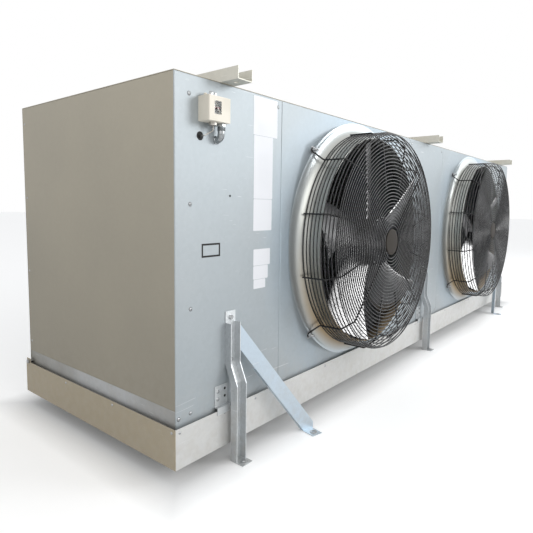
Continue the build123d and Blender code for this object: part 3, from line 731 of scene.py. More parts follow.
# ---------------------------------------------------------------- small hardware
@dataclass
class Hardware:
    """Heads, washers and rivets, all round local Z with their seat at 0."""

    workshop: Workshop

    def hex_head(self, radius: float, height: float) -> Surface:
        """A hexagon head with a chamfered crown: the corner radius is held at 6 sides, and the crown's radius
        falls in one slanting step.

        Args:
            radius: corner radius of the hexagon.
            height: height of the head.

        Returns:
            The head.
        """
        turn = circle(6)
        rows = np.array([[0, 0], [radius, 0], [radius, height * 0.82], [radius * 0.86, height], [0, height]])
        reach, level = rows[:, :1], np.repeat(rows[:, 1:], 6, 1)
        points = np.stack([reach * np.cos(turn), reach * np.sin(turn), level], -1)
        return Surface.grid(points, wrap_columns=True).outward()

    def disc(self, radius: float, height: float, count: int = 20) -> Surface:
        """A flat disc with a softened edge."""
        soft = min(height * 0.4, radius * 0.2)
        rows = [[0, 0], [radius, 0], [radius, height - soft], [radius - soft, height], [0, height]]
        return revolved(np.array(rows), count).outward()

    def pan_head(self, radius: float, height: float) -> Surface:
        """A domed screw head with a cross recess pressed in: the dome's height falls with the square of the
        radius and the recess is a star-shaped dip at the middle.

        Args:
            radius: head radius.
            height: dome height.

        Returns:
            The head.
        """
        turn = circle(16)
        share = np.array([0.0, 0.18, 0.36, 0.40, 0.7, 0.92, 1.0, 1.0])[:, None]
        dome = height * np.sqrt(np.clip(1 - (share * 0.98) ** 2, 0, 1)) * np.ones_like(turn)
        star = np.where(np.arange(16) % 4 == 0, 1.0, 0.25)
        dip = np.where(share < 0.38, 0.55 * height * star, 0.0)
        dome -= dip
        dome[-1] = 0.0
        points = np.stack([radius * share * np.cos(turn), radius * share * np.sin(turn), dome], -1)
        closing = np.zeros_like(points[-1:])
        return Surface.grid(np.concatenate([points, closing]), wrap_columns=True).outward()

    def rivet(self, radius: float) -> Surface:
        """A blind rivet: a low dome with a small hollow at its middle."""
        rows = [[0, 0.0006], [0.3, 0.0006], [0.36, 0.0014], [0.7, 0.0011], [1.0, 0.0002], [1.0, 0], [0, 0]]
        return revolved(np.array(rows) * [radius, 1.0], 14).outward()

    def fit(self) -> None:
        """Fits all screws, rivets and bolts of the cabinet and the tray."""
        bright, dark = self.workshop.finish("bright_fastener"), self.workshop.finish("black_rubber")
        panel_screws = [(-1.670, 1.059), (-1.667, 0.770), (-1.666, 0.484), (-1.667, 0.189), (-1.710, 0.185)]
        panel_screws += [(1.670, z) for z in (1.059, 0.770, 0.484, 0.189)]
        for seam in (FIRST_SEAM + 0.022, SECOND_SEAM - 0.018):
            panel_screws += [(side * seam, z) for side in (-1, 1) for z in (1.085, 0.180)]
        front = [(x, FRONT, z) for x, z in panel_screws]
        spread(self.pan_head(0.0052, 0.0026), Facing.FORWARD, front).piece("panel_screws", bright)
        rear = [(side * 1.66, REAR, z) for side in (-1, 1) for z in (1.059, 0.770, 0.484, 0.189)]
        rear += [(side * 1.33, REAR, z) for side in (-1, 1) for z in (1.059, 0.484)]
        rear += [(side * 0.028, REAR, z) for side in (-1, 1) for z in (1.059, 0.770)]
        spread(self.pan_head(0.0052, 0.0026), Facing.REARWARD, rear).piece("rear_screws", bright)
        rivets = [(-HALF_LENGTH, 0.410, z) for z in (1.051, 0.786, 0.516, 0.248)]
        spread(self.rivet(0.0042), Facing.LEFT, rivets).piece("end_rivets", bright)
        # Painted shadow: a thin dark ring under each front panel screw.
        shadow_rims = [(x, FRONT - 0.00002, z) for x, z in panel_screws]
        shade = self.workshop.finish("painted_screw_shadow")
        spread(self.disc(0.0060, 0.0004, 16), Facing.FORWARD, shadow_rims).piece("screw_shadow_rings", shade)
        along = np.array([-1.716, -1.543, -1.402, -0.986, -0.55, -0.10, 0.36, 0.82, 1.28, 1.66])
        tray = np.stack([along, np.full(10, -0.437), np.full(10, 0.153)], 1)
        spread(self.pan_head(0.0042, 0.0022), Facing.FORWARD, tray).piece("tray_screws", bright, "drip_tray")
        ends = [(-1.732, y, 0.153) for y in (-0.422, -0.14, 0.14)]
        spread(self.pan_head(0.0042, 0.0022), Facing.LEFT, ends).piece("tray_end_screws", bright, "drip_tray")
        spots = [(-1.513, FRONT - 0.0002, 0.796)]
        spread(self.disc(0.0034, 0.0006, 14), Facing.FORWARD, spots).piece("plug_spot", dark)
        self.leg_heads(bright)
        self.keeper_heads(bright, dark)

    def leg_heads(self, bright: bpy.types.Material) -> None:
        """Bolt heads on the legs and foot bolts' washers, in place of the plain heads."""
        stations = (-1.51, 0.0, 1.51)
        head = self.hex_head(0.0080, 0.0060)
        front = [(x, FRONT - 0.0025, z) for x in stations for z in (0.436, 0.306)]
        rear = [(x, -y, z) for x, y, z in front]
        both = Surface.join([spread(head, Facing.FORWARD, front), spread(head, Facing.REARWARD, rear)])
        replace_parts(both.piece("leg_bolt_heads", bright, smooth=25.0), "leg_bolts")
        rows = [[0.0058, 0], [0.0125, 0], [0.0125, 0.0012], [0.0121, 0.0016], [0.0058, 0.0016]]
        ring = revolved(np.array(rows), 24, True)
        feet = [(x, side * 0.487, 0.0025) for x in stations for side in (-1, 1)]
        feet += [(x, y, 0.0025) for x in (-1.2147, 1.2147) for y in (-0.539, 0.539)]
        spread(ring.outward(), Facing.UP, feet).piece("foot_washers", bright)

    def keeper_heads(self, bright: bpy.types.Material, dark: bpy.types.Material) -> None:
        """Two screws on each tray keeper, and two black discs as painted shade in its two openings."""
        plates = np.array([-1.548, -0.038, 1.472])
        rows = [0.196, 0.219]
        y = FRONT - 0.002
        screws = [(x - 0.014, y, z) for x in plates for z in rows]
        # Black discs as painted shade in the keeper's two openings.
        hole_shades = [(x + 0.015, y - 0.0002, z + 0.004) for x in plates for z in rows]
        spread(self.pan_head(0.0060, 0.0030), Facing.FORWARD, screws).piece("keeper_screws", bright)
        spread(self.disc(0.0042, 0.0005, 16), Facing.FORWARD, hole_shades).piece("keeper_hole_shade", dark)


# ---------------------------------------------------------------- folded panels
@dataclass
class FoldedPanel:
    """A sheet with softly folded edges: a rectangle whose rim turns back through a quarter circle.

    Args:
        name: the piece's name.
        nodes: the solids that it stands for.
        low: low edges along its two sides.
        high: high edges along its two sides.
        face: place of its outer face along the third axis.
        across: axis of the third side, 0 for an end, 1 for a front.
        inward: +1 or -1, the way to the inside.
        depth: depth of the returns.
        fold: radius of the folds.
    """

    name: str
    nodes: tuple[str, ...]
    low: tuple[float, float]
    high: tuple[float, float]
    face: float
    across: int
    inward: int
    depth: float = 0.012
    fold: float = 0.0022

    def rim_rows(self) -> Array:
        """Inset from the edge and depth behind the face of each rim row: a quarter circle, then a return."""
        turn = np.linspace(0, np.pi / 2, 5)
        arc = np.stack([self.fold * (1 - np.sin(turn)), self.fold * (1 - np.cos(turn))], 1)
        return np.concatenate([arc, [[0.0, self.depth]]])

    def surface(self, hole: tuple[float, float, float] | None = None) -> Surface:
        """The panel: rays from the middle meet the rectangle where their larger side share is 1, and each rim
        row is that rectangle drawn in by its inset.

        Args:
            hole: middle and radius of a round opening, or none.

        Returns:
            The open skin.
        """
        first, second = [axis for axis in (0, 1, 2) if axis != self.across]
        half = (np.array(self.high) - self.low) / 2
        middle = (np.array(self.high) + self.low) / 2
        centre = np.array(hole[:2]) if hole else middle
        corners = np.array([[1, 1], [-1, 1], [-1, -1], [1, -1]]) * half + middle - centre
        turn = np.sort(np.concatenate([circle(144), np.arctan2(corners[:, 1], corners[:, 0]) % (2 * np.pi)]))
        ray = np.stack([np.cos(turn), np.sin(turn)], 1)
        span = np.where(ray > 0, middle + half - centre, centre - middle + half)
        reach = span / np.maximum(np.abs(ray), 1e-9)
        edge = centre + ray * reach.min(axis=1)[:, None]
        share = (edge - middle) / half
        start = hole[2] if hole else 0.010
        outer = middle + share * (half - self.fold - 0.003)
        flat = [((centre + ray * start) * (1 - part) + outer * part, 0.0) for part in np.linspace(0, 1, 5)]
        flat += [(middle + share * (half - inset), back) for inset, back in self.rim_rows()]
        points = np.zeros((len(flat), len(turn), 3))
        for number, (place, back) in enumerate(flat):
            points[number, :, first], points[number, :, second] = place[:, 0], place[:, 1]
            points[number, :, self.across] = self.face + self.inward * back
        skin = Surface.grid(points, wrap_columns=True)
        if not hole:
            skin.faces.append(np.arange(len(turn))[None, ::-1])
        return skin

    def build(self, finish: bpy.types.Material, hole: tuple[float, float, float] | None = None) -> None:
        """Makes the panel with its sheet thickness and puts it in the solids' place."""
        skin = self.surface(hole)
        points = skin.points
        corner = points[skin.faces[0]]
        normal = np.cross(corner[:, 1] - corner[:, 0], corner[:, 3] - corner[:, 0]).sum(axis=0)
        if normal[self.across] * self.inward > 0:
            skin = Surface(points, [rows[:, ::-1] for rows in skin.faces])
        made = skin.piece(self.name, finish, smooth=50.0)
        wall = made.modifiers.new("sheet", "SOLIDIFY")
        wall.thickness, wall.offset = SHEET * 0.8, -1.0
        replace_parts(made, *self.nodes)


@dataclass
class Cabinet:
    """Panels, blank plates and the small outline on the front face."""

    workshop: Workshop

    def panels(self) -> None:
        """Front panels and the left end panel, each with folded edges."""
        cool, warm = self.workshop.finish("cool_sheet"), self.workshop.finish("warm_sheet")
        z = (PANEL_BOTTOM, PANEL_TOP)
        spans = {
            "front_end_panel_left": (-HALF_LENGTH, -FIRST_SEAM),
            "front_middle_panel": (-SECOND_SEAM, SECOND_SEAM),
            "front_end_panel_right": (FIRST_SEAM, HALF_LENGTH),
        }
        for name, (low, high) in spans.items():
            low = low if low == -HALF_LENGTH else low + SEAM_GAP
            high = high if high == HALF_LENGTH else high - SEAM_GAP
            sheet = FoldedPanel(name + "_skin", (name,), (low, z[0]), (high, z[1]), FRONT, 1, 1, 0.0026)
            sheet.build(cool)
        end = FoldedPanel(
            "end_panel_left_skin", ("end_panel_left",), (FRONT + 0.0030, 0.208),
            (REAR - SHEET, PANEL_TOP - 0.001), -HALF_LENGTH, 0, 1, 0.011,
        )
        end.build(warm)

    def plate(
        self, x: tuple[float, float], z: tuple[float, float], lift: float = 0.0004, corner: float = 0.003
    ) -> Surface:
        """A thin blank plate on the front face: a rectangle with rounded corners, each corner's points on a
        quarter circle, drawn out by a small lift.

        Args:
            x: its sides.
            z: its bottom and top.
            lift: how far it stands off the face.
            corner: corner radius.

        Returns:
            The plate.
        """
        turn = circle(32) + np.pi / 32
        side = np.stack([np.sign(np.cos(turn)), np.sign(np.sin(turn))], 1)
        half = np.array([x[1] - x[0], z[1] - z[0]]) / 2
        middle = np.array([x[0] + x[1], z[0] + z[1]]) / 2
        outline = middle + side * (half - corner) + corner * np.stack([np.cos(turn), np.sin(turn)], 1)
        rows = [(middle + 0 * outline, 0.0), (outline, 0.0), (outline, lift), (middle + 0 * outline, lift)]
        points = np.array([[[px, FRONT - back, pz] for px, pz in place] for place, back in rows])
        return Surface.grid(points, wrap_columns=True).outward()

    def blank_labels(self) -> None:
        """Plain white strips where the front panel has paper, with nothing printed on them."""
        strips = [
            ((-1.411, -1.294), (0.985, 1.102)), ((-1.408, -1.316), (0.790, 0.984)),
            ((-1.408, -1.318), (0.690, 0.789)), ((-1.406, -1.324), (0.580, 0.632)),
            ((-1.406, -1.334), (0.536, 0.579)), ((-1.404, -1.346), (0.506, 0.535)),
        ]
        sheets = Surface.join([self.plate(x, z) for x, z in strips])
        sheets.piece("blank_paper_strips", self.workshop.finish("blank_paper"))

    def outline(self) -> None:
        """Small dark outlined box on the front panel."""
        x, z, width = (-1.625, -1.553), (0.622, 0.661), 0.0052
        bars = [
            self.plate(x, (z[0], z[0] + width), 0.0003, 0.001),
            self.plate(x, (z[1] - width, z[1]), 0.0003, 0.001),
            self.plate((x[0], x[0] + width), z, 0.00035, 0.001),
            self.plate((x[1] - width, x[1]), z, 0.00035, 0.001),
        ]
        Surface.join(bars).piece("outlined_box", self.workshop.finish("black_rubber"))

    def build(self) -> None:
        """Builds the whole cabinet skin."""
        self.panels()
        self.blank_labels()
        self.outline()


def carried(outline: Array, start: float, end: float, axis: int) -> Surface:
    """A flat outline carried along one axis, with both ends closed.

    Args:
        outline: points x 2 on the other two axes, in their order.
        start: place of the first end.
        end: place of the second end.
        axis: the axis that it runs along.

    Returns:
        The closed bar.
    """
    first, second = [number for number in (0, 1, 2) if number != axis]
    points = np.zeros((2, len(outline), 3))
    points[:, :, first], points[:, :, second] = outline[:, 0], outline[:, 1]
    points[0, :, axis], points[1, :, axis] = start, end
    side = Surface.grid(points, wrap_columns=True)
    count = len(outline)
    caps = np.stack([np.arange(count)[::-1], count + np.arange(count)])
    return Surface(side.points, side.faces + [caps]).outward()


def soft_rectangle(
    low: tuple[float, float], high: tuple[float, float], corner: float, steps: int = 4
) -> Array:
    """A rectangle with rounded corners: each quarter circle stands at its own corner's middle."""
    low_corner, high_corner = np.array(low), np.array(high)
    turn = np.concatenate([np.linspace(0, np.pi / 2, steps) + quarter * np.pi / 2 for quarter in range(4)])
    side = np.repeat(np.array([[1, 1], [-1, 1], [-1, -1], [1, -1]]), steps, axis=0)
    half = (high_corner - low_corner) / 2 - corner
    return (low_corner + high_corner) / 2 + side * half + corner * np.stack([np.cos(turn), np.sin(turn)], 1)


# ---------------------------------------------------------------- fan sections
@dataclass
class FanSection:
    """One fan: drawn nozzle, wire basket, motor and impeller.

    Args:
        name: left or right.
        workshop: where its finishes come from.
        hardware: where its discs and nuts come from.
        height: the axis over the floor.
        flare: radius of the flare's outer edge.
        collar: radius of the collar.
        reach: how far the collar stands out.
        basket: radius of the guard's sides.
        face: how far the guard's front stands out.
        ring_wire: radius of a ring's wire.
        arm_wire: radius of an arm's wire.
        ring_pitch: step between rings on the front.
        side_pitch: step between rings on the sides.
        short_arm: radius where a short arm ends.
        shoulder: how far an arm slants across the basket's edge.
        hub: radius of the hub disc.
        stud_circle: radius of the circle of studs.
        bell: radius of the motor's bell.
        blades: number of blades.
        tip: radius of the blades' tips.
        pitch: slope of the blades in degrees.
        first_blade: turn of the first blade in degrees.
    """

    name: str
    workshop: Workshop
    hardware: Hardware
    height: float = FAN_HEIGHT
    flare: float = 0.462
    collar: float = 0.406
    reach: float = 0.087
    basket: float = 0.425
    face: float = 0.160
    ring_wire: float = 0.0023
    arm_wire: float = 0.0030
    ring_pitch: float = 0.0130
    side_pitch: float = 0.0145
    short_arm: float = 0.215
    shoulder: float = 0.042
    hub: float = 0.052
    stud_circle: float = 0.478
    bell: float = 0.095
    blades: int = 5
    tip: float = 0.3965
    pitch: float = 24.0
    first_blade: float = 20.0

    @property
    def middle(self) -> Array:
        """Where the fan's axis meets the front face."""
        return np.array([-FAN_ALONG if self.name == "left" else FAN_ALONG, FRONT, self.height])

    def set_out(self, part: Surface) -> Surface:
        """Brings a part from the fan's own frame, local Z outwards, into its place."""
        return part.placed(Facing.FORWARD.turn(), self.middle)

    def nozzle(self) -> None:
        """Panel and nozzle: the flare's profile is a quarter circle from the panel to the collar, which ends
        in a small lip rolled outwards, and the wall comes back a sheet's thickness inside."""
        side = -1 if self.name == "left" else 1
        low, high = sorted((side * FIRST_SEAM, side * SECOND_SEAM))
        panel = FoldedPanel(
            f"fan_panel_{self.name}_skin", (f"fan_panel_{self.name}",), (low + SEAM_GAP, PANEL_BOTTOM),
            (high - SEAM_GAP, PANEL_TOP), FRONT, 1, 1, 0.0026,
        )
        finish = self.workshop.finish("cool_sheet")
        panel.build(finish, (float(self.middle[0]), self.height, self.flare + 0.004))
        turn_radius = self.flare - self.collar
        turn = np.linspace(0, np.pi / 2, 18)
        flare = np.stack([self.flare - turn_radius * np.sin(turn), turn_radius * (1 - np.cos(turn))], 1)
        skirt = np.linspace(0, 1, 7)
        root = np.stack([self.flare + 0.010 * (1 - skirt), 0.0001 + 0.0006 * skirt**2], 1)[:-1]
        roll = np.linspace(-np.pi / 2, np.pi / 2, 8)
        lip_radius = 0.0026
        lip = np.stack([
            self.collar - 0.0006 + lip_radius * np.cos(roll),
            self.reach - lip_radius + lip_radius * np.sin(roll),
        ], 1)
        wall = 0.0012
        inner_turn = np.linspace(np.pi / 2, 0, 14)
        inner_radius = turn_radius + wall
        inside = np.stack([
            self.flare - inner_radius * np.sin(inner_turn), turn_radius - inner_radius * np.cos(inner_turn)
        ], 1)
        back = [[self.collar - wall, self.reach - 0.0004]]
        profile = np.concatenate([root, flare, lip, back, inside, [[self.flare + 0.010, -wall]]])
        made = self.set_out(revolved(profile, 192, closed=True).outward())
        made.piece(f"nozzle_{self.name}", self.workshop.finish("drawn_sheet"), smooth=50.0)

    def arm(self, inner: float, foot: Array) -> Surface:
        """One arm in the plane of local X and Z: up the basket's side, slanting across its shoulder and in
        over its front, with the bends rounded.

        Args:
            inner: radius where it ends on the front.
            foot: points before the basket's back ring.

        Returns:
            The wire.
        """
        outer = self.basket + self.ring_wire + self.arm_wire - 0.0004
        plane = self.face - self.ring_wire - self.arm_wire + 0.0004
        shoulder = [[outer, plane - self.shoulder], [outer - self.shoulder, plane]]
        line = np.concatenate([foot, [[outer, 0.027]], shoulder, [[inner, plane]]])
        soft = rounded_corner(line, 0.006)
        path = np.stack([soft[:, 0], 0 * soft[:, 0], soft[:, 1]], 1)
        return tube(path, self.arm_wire, np.array([0.0, 1.0, 0.0]), facets=8)

    def guard(self) -> None:
        """Basket: rings are circles of wire at each radius and reach, and twelve arms are bent wires."""
        turn = circle(96)
        ring = np.stack([np.cos(turn), np.sin(turn), 0 * turn], 1)
        axis = np.array([0.0, 0.0, 1.0])
        fronts = np.arange(self.hub + 0.013, self.basket - 0.008, self.ring_pitch)
        sides = np.arange(0.027, self.face - 0.010, self.side_pitch)
        spots = [(radius, self.face) for radius in fronts] + [(self.basket, reach) for reach in sides]
        spots += [(self.basket - 0.0045, self.face - 0.0045)]
        wires = [
            tube(ring * [radius, radius, 1] + [0, 0, reach], self.ring_wire, axis, closed=True, facets=6)
            for radius, reach in spots
        ]
        stub = np.array([[self.stud_circle - 0.007, 0.004], [self.stud_circle - 0.018, 0.004]])
        mains = np.radians(np.arange(4) * 90 + 45)
        long_arm = self.arm(self.hub - 0.002, stub)
        eye = ring * [0.0072, 0.0072, 1] + [self.stud_circle, 0, 0.004]
        loop = tube(eye, self.arm_wire * 0.9, axis, closed=True)
        held = Surface.join([long_arm, loop])
        wires.append(held.repeated(axis_turn(2, mains), np.zeros((4, 3))))
        outer = self.basket + self.ring_wire + self.arm_wire - 0.0004
        short = self.arm(self.short_arm, np.array([[outer, 0.0215]]))
        others = np.radians(np.array([15, 75, 105, 165, 195, 255, 285, 345]))
        wires.append(short.repeated(axis_turn(2, others), np.zeros((8, 3))))
        basket = self.set_out(Surface.join(wires))
        made = basket.piece(f"guard_basket_{self.name}", self.workshop.finish("black_wire"), smooth=70.0)
        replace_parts(made, f"fan_guard_{self.name}")
        rows = [
            [0, 0.1576], [0.051, 0.1576], [0.052, 0.1584], [0.052, 0.1600], [0.0505, 0.1616], [0.047, 0.1621],
            [0, 0.1624],
        ]
        disc = self.set_out(revolved(np.array(rows), 64).outward())
        disc.piece(f"hub_disc_{self.name}", self.workshop.finish("hub_disc"))

    def fixings(self) -> None:
        """Studs with rolled threads, base washers and nuts where the four long arms are held."""
        count = 9
        thread = np.stack([
            np.where(np.arange(2 * count) % 2 == 0, 0.0040, 0.0034), np.linspace(0.0145, 0.0255, 2 * count)
        ], 1)
        stud = revolved(np.concatenate([[[0, 0.0]], [[0.0034, 0.0]], thread, [[0, 0.0260]]]), 12).outward()
        washer = self.hardware.disc(0.0135, 0.0009, 24)
        nut = self.hardware.hex_head(0.0072, 0.0062).placed(np.eye(3), [0, 0, 0.0068])
        cup = self.hardware.disc(0.0098, 0.0012, 20).placed(np.eye(3), [0, 0, 0.0062])
        one = Surface.join([stud, washer, cup, nut]).placed(np.eye(3), [self.stud_circle, 0, 0])
        turns = axis_turn(2, np.radians(np.arange(4) * 90 + 45))
        made = self.set_out(one.repeated(turns, np.zeros((4, 3))))
        piece = made.piece(f"guard_studs_{self.name}", self.workshop.finish("bright_fastener"), smooth=30.0)
        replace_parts(piece, f"guard_fixings_{self.name}")

    def motor(self) -> None:
        """Outer bell: a turned profile with a rounded shoulder and grooves, and screw heads on its face."""
        body = f"fan_{self.name}"
        turn = np.linspace(0, np.pi / 2, 8)
        shoulder = np.stack([0.083 + 0.012 * np.sin(turn), 0.110 + 0.0118 * np.cos(turn)], 1)
        groove = np.linspace(0.104, 0.030, 25)
        side = np.stack([self.bell - 0.0006 * (np.arange(25) % 2), groove], 1)
        seat = [[0.0424, 0.0418], [0.0424, 0.1195], [0.0445, 0.1218], [0.060, 0.1218]]
        low = [[self.bell, 0.026], [0.092, 0.0222], [0, 0.0222], [0, 0.0418]]
        bell = revolved(np.concatenate([seat, shoulder, side, low]), 96, closed=True).outward()
        made = self.set_out(bell).piece(f"motor_bell_{self.name}", self.workshop.finish("motor_paint"), body)
        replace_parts(made, f"fan_rotor_{self.name}")
        spots = np.radians(np.arange(8) * 45 + 11)
        heads = np.stack([0.068 * np.cos(spots), 0.068 * np.sin(spots), np.full(8, 0.1217)], 1)
        screws = self.hardware.disc(0.0040, 0.0003, 12).repeated(np.repeat(np.eye(3)[None], 8, 0), heads)
        self.set_out(screws).piece(f"bell_screws_{self.name}", self.workshop.finish("bright_fastener"), body)

    def blade(self) -> Surface:
        """One blade: its leading and trailing edges are parabolas over the radius; at a share of the chord
        the height rises with the pitch and a parabolic camber, and the section is a flattened ellipse."""
        share = np.linspace(0, 1, 30)[:, None]
        radius = 0.0962 + share * (self.tip - 0.0962)
        turn = circle(32)[None, :]
        chord = 0.5 - 0.5 * np.cos(turn)
        x = radius * np.ones_like(chord)
        stations = [0.090, 0.249, 0.408]
        lead_curve = np.polyfit(stations, [0.048, 0.078, 0.178], 2)
        trail_curve = np.polyfit(stations, [-0.048, -0.077, -0.050], 2)
        for _ in range(8):
            lead = np.minimum(np.polyval(lead_curve, x), 0.147)
            trail = np.polyval(trail_curve, x)
            y = trail + chord * (lead - trail)
            x = np.sqrt(np.maximum(radius**2 - y**2, 1e-6))
        slope = np.tan(np.radians(self.pitch))
        height = 0.0665 + slope * (y - 0.036) + 0.009 * (1 - (2 * chord - 1) ** 2)
        thick = 0.0024 * np.sign(np.sin(turn)) * np.abs(np.sin(turn)) ** 0.6
        lean = np.radians(self.pitch)
        points = np.stack([x, y - thick * np.sin(lean), height + thick * np.cos(lean)], -1)
        half = [(points[:1] + points[:1, ::-1]) / 2, (points[-1:] + points[-1:, ::-1]) / 2]
        rows = np.concatenate([half[0], points, half[1]])
        return Surface.grid(rows, wrap_columns=True).outward()

    def impeller(self) -> None:
        """Blades spaced evenly round a sleeve, in one piece."""
        body = f"fan_{self.name}"
        angles = np.radians(self.first_blade + np.arange(self.blades) * 72)
        turns = axis_turn(2, angles)
        blades = self.blade().repeated(turns, np.zeros((self.blades, 3)))
        rows = [
            [0.0951, 0.0226], [0.0973, 0.0226], [0.0979, 0.0236], [0.0979, 0.1126], [0.0973, 0.1136],
            [0.0951, 0.1136],
        ]
        sleeve = revolved(np.array(rows), 96, closed=True).outward()
        made = self.set_out(Surface.join([sleeve, blades]))
        piece = made.piece(f"impeller_blades_{self.name}", self.workshop.finish("blade_paint"), body)
        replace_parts(piece, f"impeller_{self.name}")

    def build(self) -> None:
        """Builds the whole fan section."""
        self.nozzle()
        self.guard()
        self.fixings()
        self.motor()
        self.impeller()


# ---------------------------------------------------------------- coil, tray and thermostat
@dataclass
class CoilBlock:
    """Close-set corrugated fins between casing sheets, in place of the open block."""

    workshop: Workshop
    pitch: float = 0.0075
    thickness: float = 0.0006
    wave: float = 0.0006

    def build(self) -> None:
        """Each fin's side swings as a sine over the depth; both sides and the two ends close it."""
        low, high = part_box("coil_fin_pack")
        casing = 0.0025
        depth = np.linspace(low.y + 0.001, high.y - 0.001, 13)
        swing = self.wave * np.sin(np.linspace(0, 6 * np.pi, 13))
        half = self.thickness / 2
        side = np.concatenate([np.stack([swing + half, depth], 1), np.stack([swing - half, depth], 1)[::-1]])
        fin = carried(side, low.z + casing, high.z - casing, 2)
        places = np.arange(low.x + 0.006, high.x - 0.005, self.pitch)
        shifts = np.stack([places, 0 * places, 0 * places], 1)
        fins = fin.repeated(np.repeat(np.eye(3)[None], len(places), 0), shifts)
        sheets = [
            carried(soft_rectangle((low.y, z), (high.y, z + casing), 0.0008), low.x, high.x, 0)
            for z in (low.z, high.z - casing)
        ]
        sheets += [
            carried(soft_rectangle((x, low.y), (x + casing, high.y), 0.0008), low.z, high.z, 2)
            for x in (low.x, high.x - casing)
        ]
        made = Surface.join([fins, *sheets]).piece("coil_fins", self.workshop.finish("coil_aluminium"))
        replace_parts(made, "coil_fin_pack")


@dataclass
class TrayTrim:
    """Hemmed top edge of the drip tray."""

    workshop: Workshop

    def build(self) -> None:
        """The hem is a thin wire along the rim, with its corners rounded."""
        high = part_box("drip_tray")[1]
        inset = 0.0016
        x, y, z = high.x - inset, high.y - inset, TRAY_RIM - 0.0017
        corners = np.array([[x, y], [-x, y], [-x, -y], [x, -y], [x, y]])
        path = rounded_corner(corners, 0.004)
        path = np.concatenate([path[1:-1], [path[-1]]])
        route = np.stack([path[:, 0], path[:, 1], np.full(len(path), z)], 1)
        hem = tube(route, 0.0015, np.array([0.0, 0.0, 1.0]), facets=8)
        hem.piece("tray_hem", self.workshop.finish("tray_sheet"), "drip_tray")


@dataclass
class Thermostat:
    """Details of the control box: scale, bezel, caps, cable hole and the cable elbow."""

    workshop: Workshop
    hardware: Hardware

    def scale(self) -> None:
        """Dark scale plate behind the pane with two columns of light ticks, long at every fifth."""
        low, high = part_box("thermostat_window")
        plate = carried(soft_rectangle((low.x, low.z), (high.x, high.z), 0.001), -0.4392, -0.4384, 1)
        plate.piece("scale_plate", self.workshop.finish("scale_face"))
        rows = np.arange(15)
        width = np.where(rows % 5 == 0, 0.0050, 0.0030)
        z = low.z + 0.006 + rows * (high.z - low.z - 0.012) / 14
        ticks = []
        for edge, way in ((low.x + 0.0012, 1), (high.x - 0.0012, -1)):
            for span, height in zip(width, z):
                x = sorted((edge, edge + way * span))
                outline = soft_rectangle((x[0], height - 0.0004), (x[1], height + 0.0004), 0.0002, 2)
                ticks.append(carried(outline, -0.4397, -0.4391, 1))
        Surface.join(ticks).piece("scale_ticks", self.workshop.finish("scale_print"))

    def bezel(self) -> None:
        """Raised frame round the window: a rounded bar carried round a rectangle."""
        low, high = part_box("thermostat_window")
        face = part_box("thermostat_cover")[0].y
        reach = 0.0006
        corners = np.array([
            [low.x - reach, low.z - reach], [high.x + reach, low.z - reach], [high.x + reach, high.z + reach],
            [low.x - reach, high.z + reach], [low.x - reach, low.z - reach],
        ])
        soft = rounded_corner(corners, 0.0015)
        soft = np.concatenate([soft[1:-1], soft[1:2]])
        route = np.stack([soft[:, 0], np.full(len(soft), face + 0.0011), soft[:, 1]], 1)
        frame_bar = tube(route, 0.0010, np.array([0.0, 1.0, 0.0]), facets=8)
        frame_bar.piece("window_bezel", self.workshop.finish("cream_plastic"))

    def elbow(self) -> None:
        """Cable elbow: a bent tube from the housing to the panel, with a ribbed collar, a nut and a flange."""
        low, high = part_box("conduit_elbow")
        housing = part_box("thermostat_cover")[0]
        x, y, z_end = (low.x + high.x) / 2, -0.446, 0.949
        line = np.array([[x, y, housing.z], [x, y, z_end], [x, FRONT, z_end]])
        path = rounded_corner(line, 0.018, 12)
        bend = tube(path, 0.0098, np.array([1.0, 0.0, 0.0]), facets=24)
        upside_down = np.diag([1.0, -1.0, -1.0])
        nut = self.hardware.hex_head(0.0119, 0.0085).placed(upside_down, [x, y, housing.z - 0.0002])
        ribs = np.stack([np.where(np.arange(16) % 2 == 0, 0.0114, 0.0106), np.linspace(0, 0.010, 16)], 1)
        collar = revolved(np.concatenate([[[0, 0]], ribs, [[0, 0.010]]]), 32).outward()
        collar = collar.placed(np.eye(3), [x, y, housing.z - 0.0200])
        flange = spread(self.hardware.hex_head(0.0119, 0.0048), Facing.FORWARD, [(x, FRONT, z_end)])
        made = Surface.join([bend, nut, collar, flange])
        piece = made.piece("cable_elbow", self.workshop.finish("chrome"), smooth=30.0)
        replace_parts(piece, "conduit_elbow")

    def trim(self) -> None:
        """Tall hexagon caps on the two spindles, a plain cap beside them, rails at the pane's top and bottom,
        and a black disc on the panel as painted shade in the open cable hole."""
        cover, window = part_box("thermostat_cover"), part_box("thermostat_window")
        for body in ("range_spindle", "differential_spindle"):
            low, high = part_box(body)
            cap = self.hardware.hex_head(0.0062, 0.0130)
            place = ((low.x + high.x) / 2, (low.y + high.y) / 2, cover[1].z + 0.0003)
            shown = spread(cap, Facing.UP, [place])
            shown.piece(f"{body}_cap", self.workshop.finish("chrome"), body, smooth=30.0)
        spot = (cover[0].x + 0.012, -0.440, cover[1].z)
        side_cap = spread(self.hardware.disc(0.0048, 0.0075), Facing.UP, [spot])
        side_cap.piece("side_cap", self.workshop.finish("cream_plastic"))
        face, reach = cover[0].y, 0.0048
        outlines = [
            soft_rectangle((window[0].x, z), (window[1].x, z + reach), 0.0006)
            for z in (window[0].z, window[1].z - reach)
        ]
        rails = [carried(outline, face - 0.0002, face + 0.0012, 1) for outline in outlines]
        Surface.join(rails).piece("window_rails", self.workshop.finish("cream_plastic"))
        # Painted shade: a black disc on the panel for the shade in the open cable hole.
        low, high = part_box("capillary_grommet")
        middle = ((low.x + high.x) / 2, FRONT, (low.z + high.z) / 2)
        hole = spread(self.hardware.disc(0.0120, 0.0005, 32), Facing.FORWARD, [middle])
        hole.piece("cable_hole_shade", self.workshop.finish("black_rubber"))

    def build(self) -> None:
        """Builds all the details."""
        self.scale()
        self.bezel()
        self.elbow()
        self.trim()


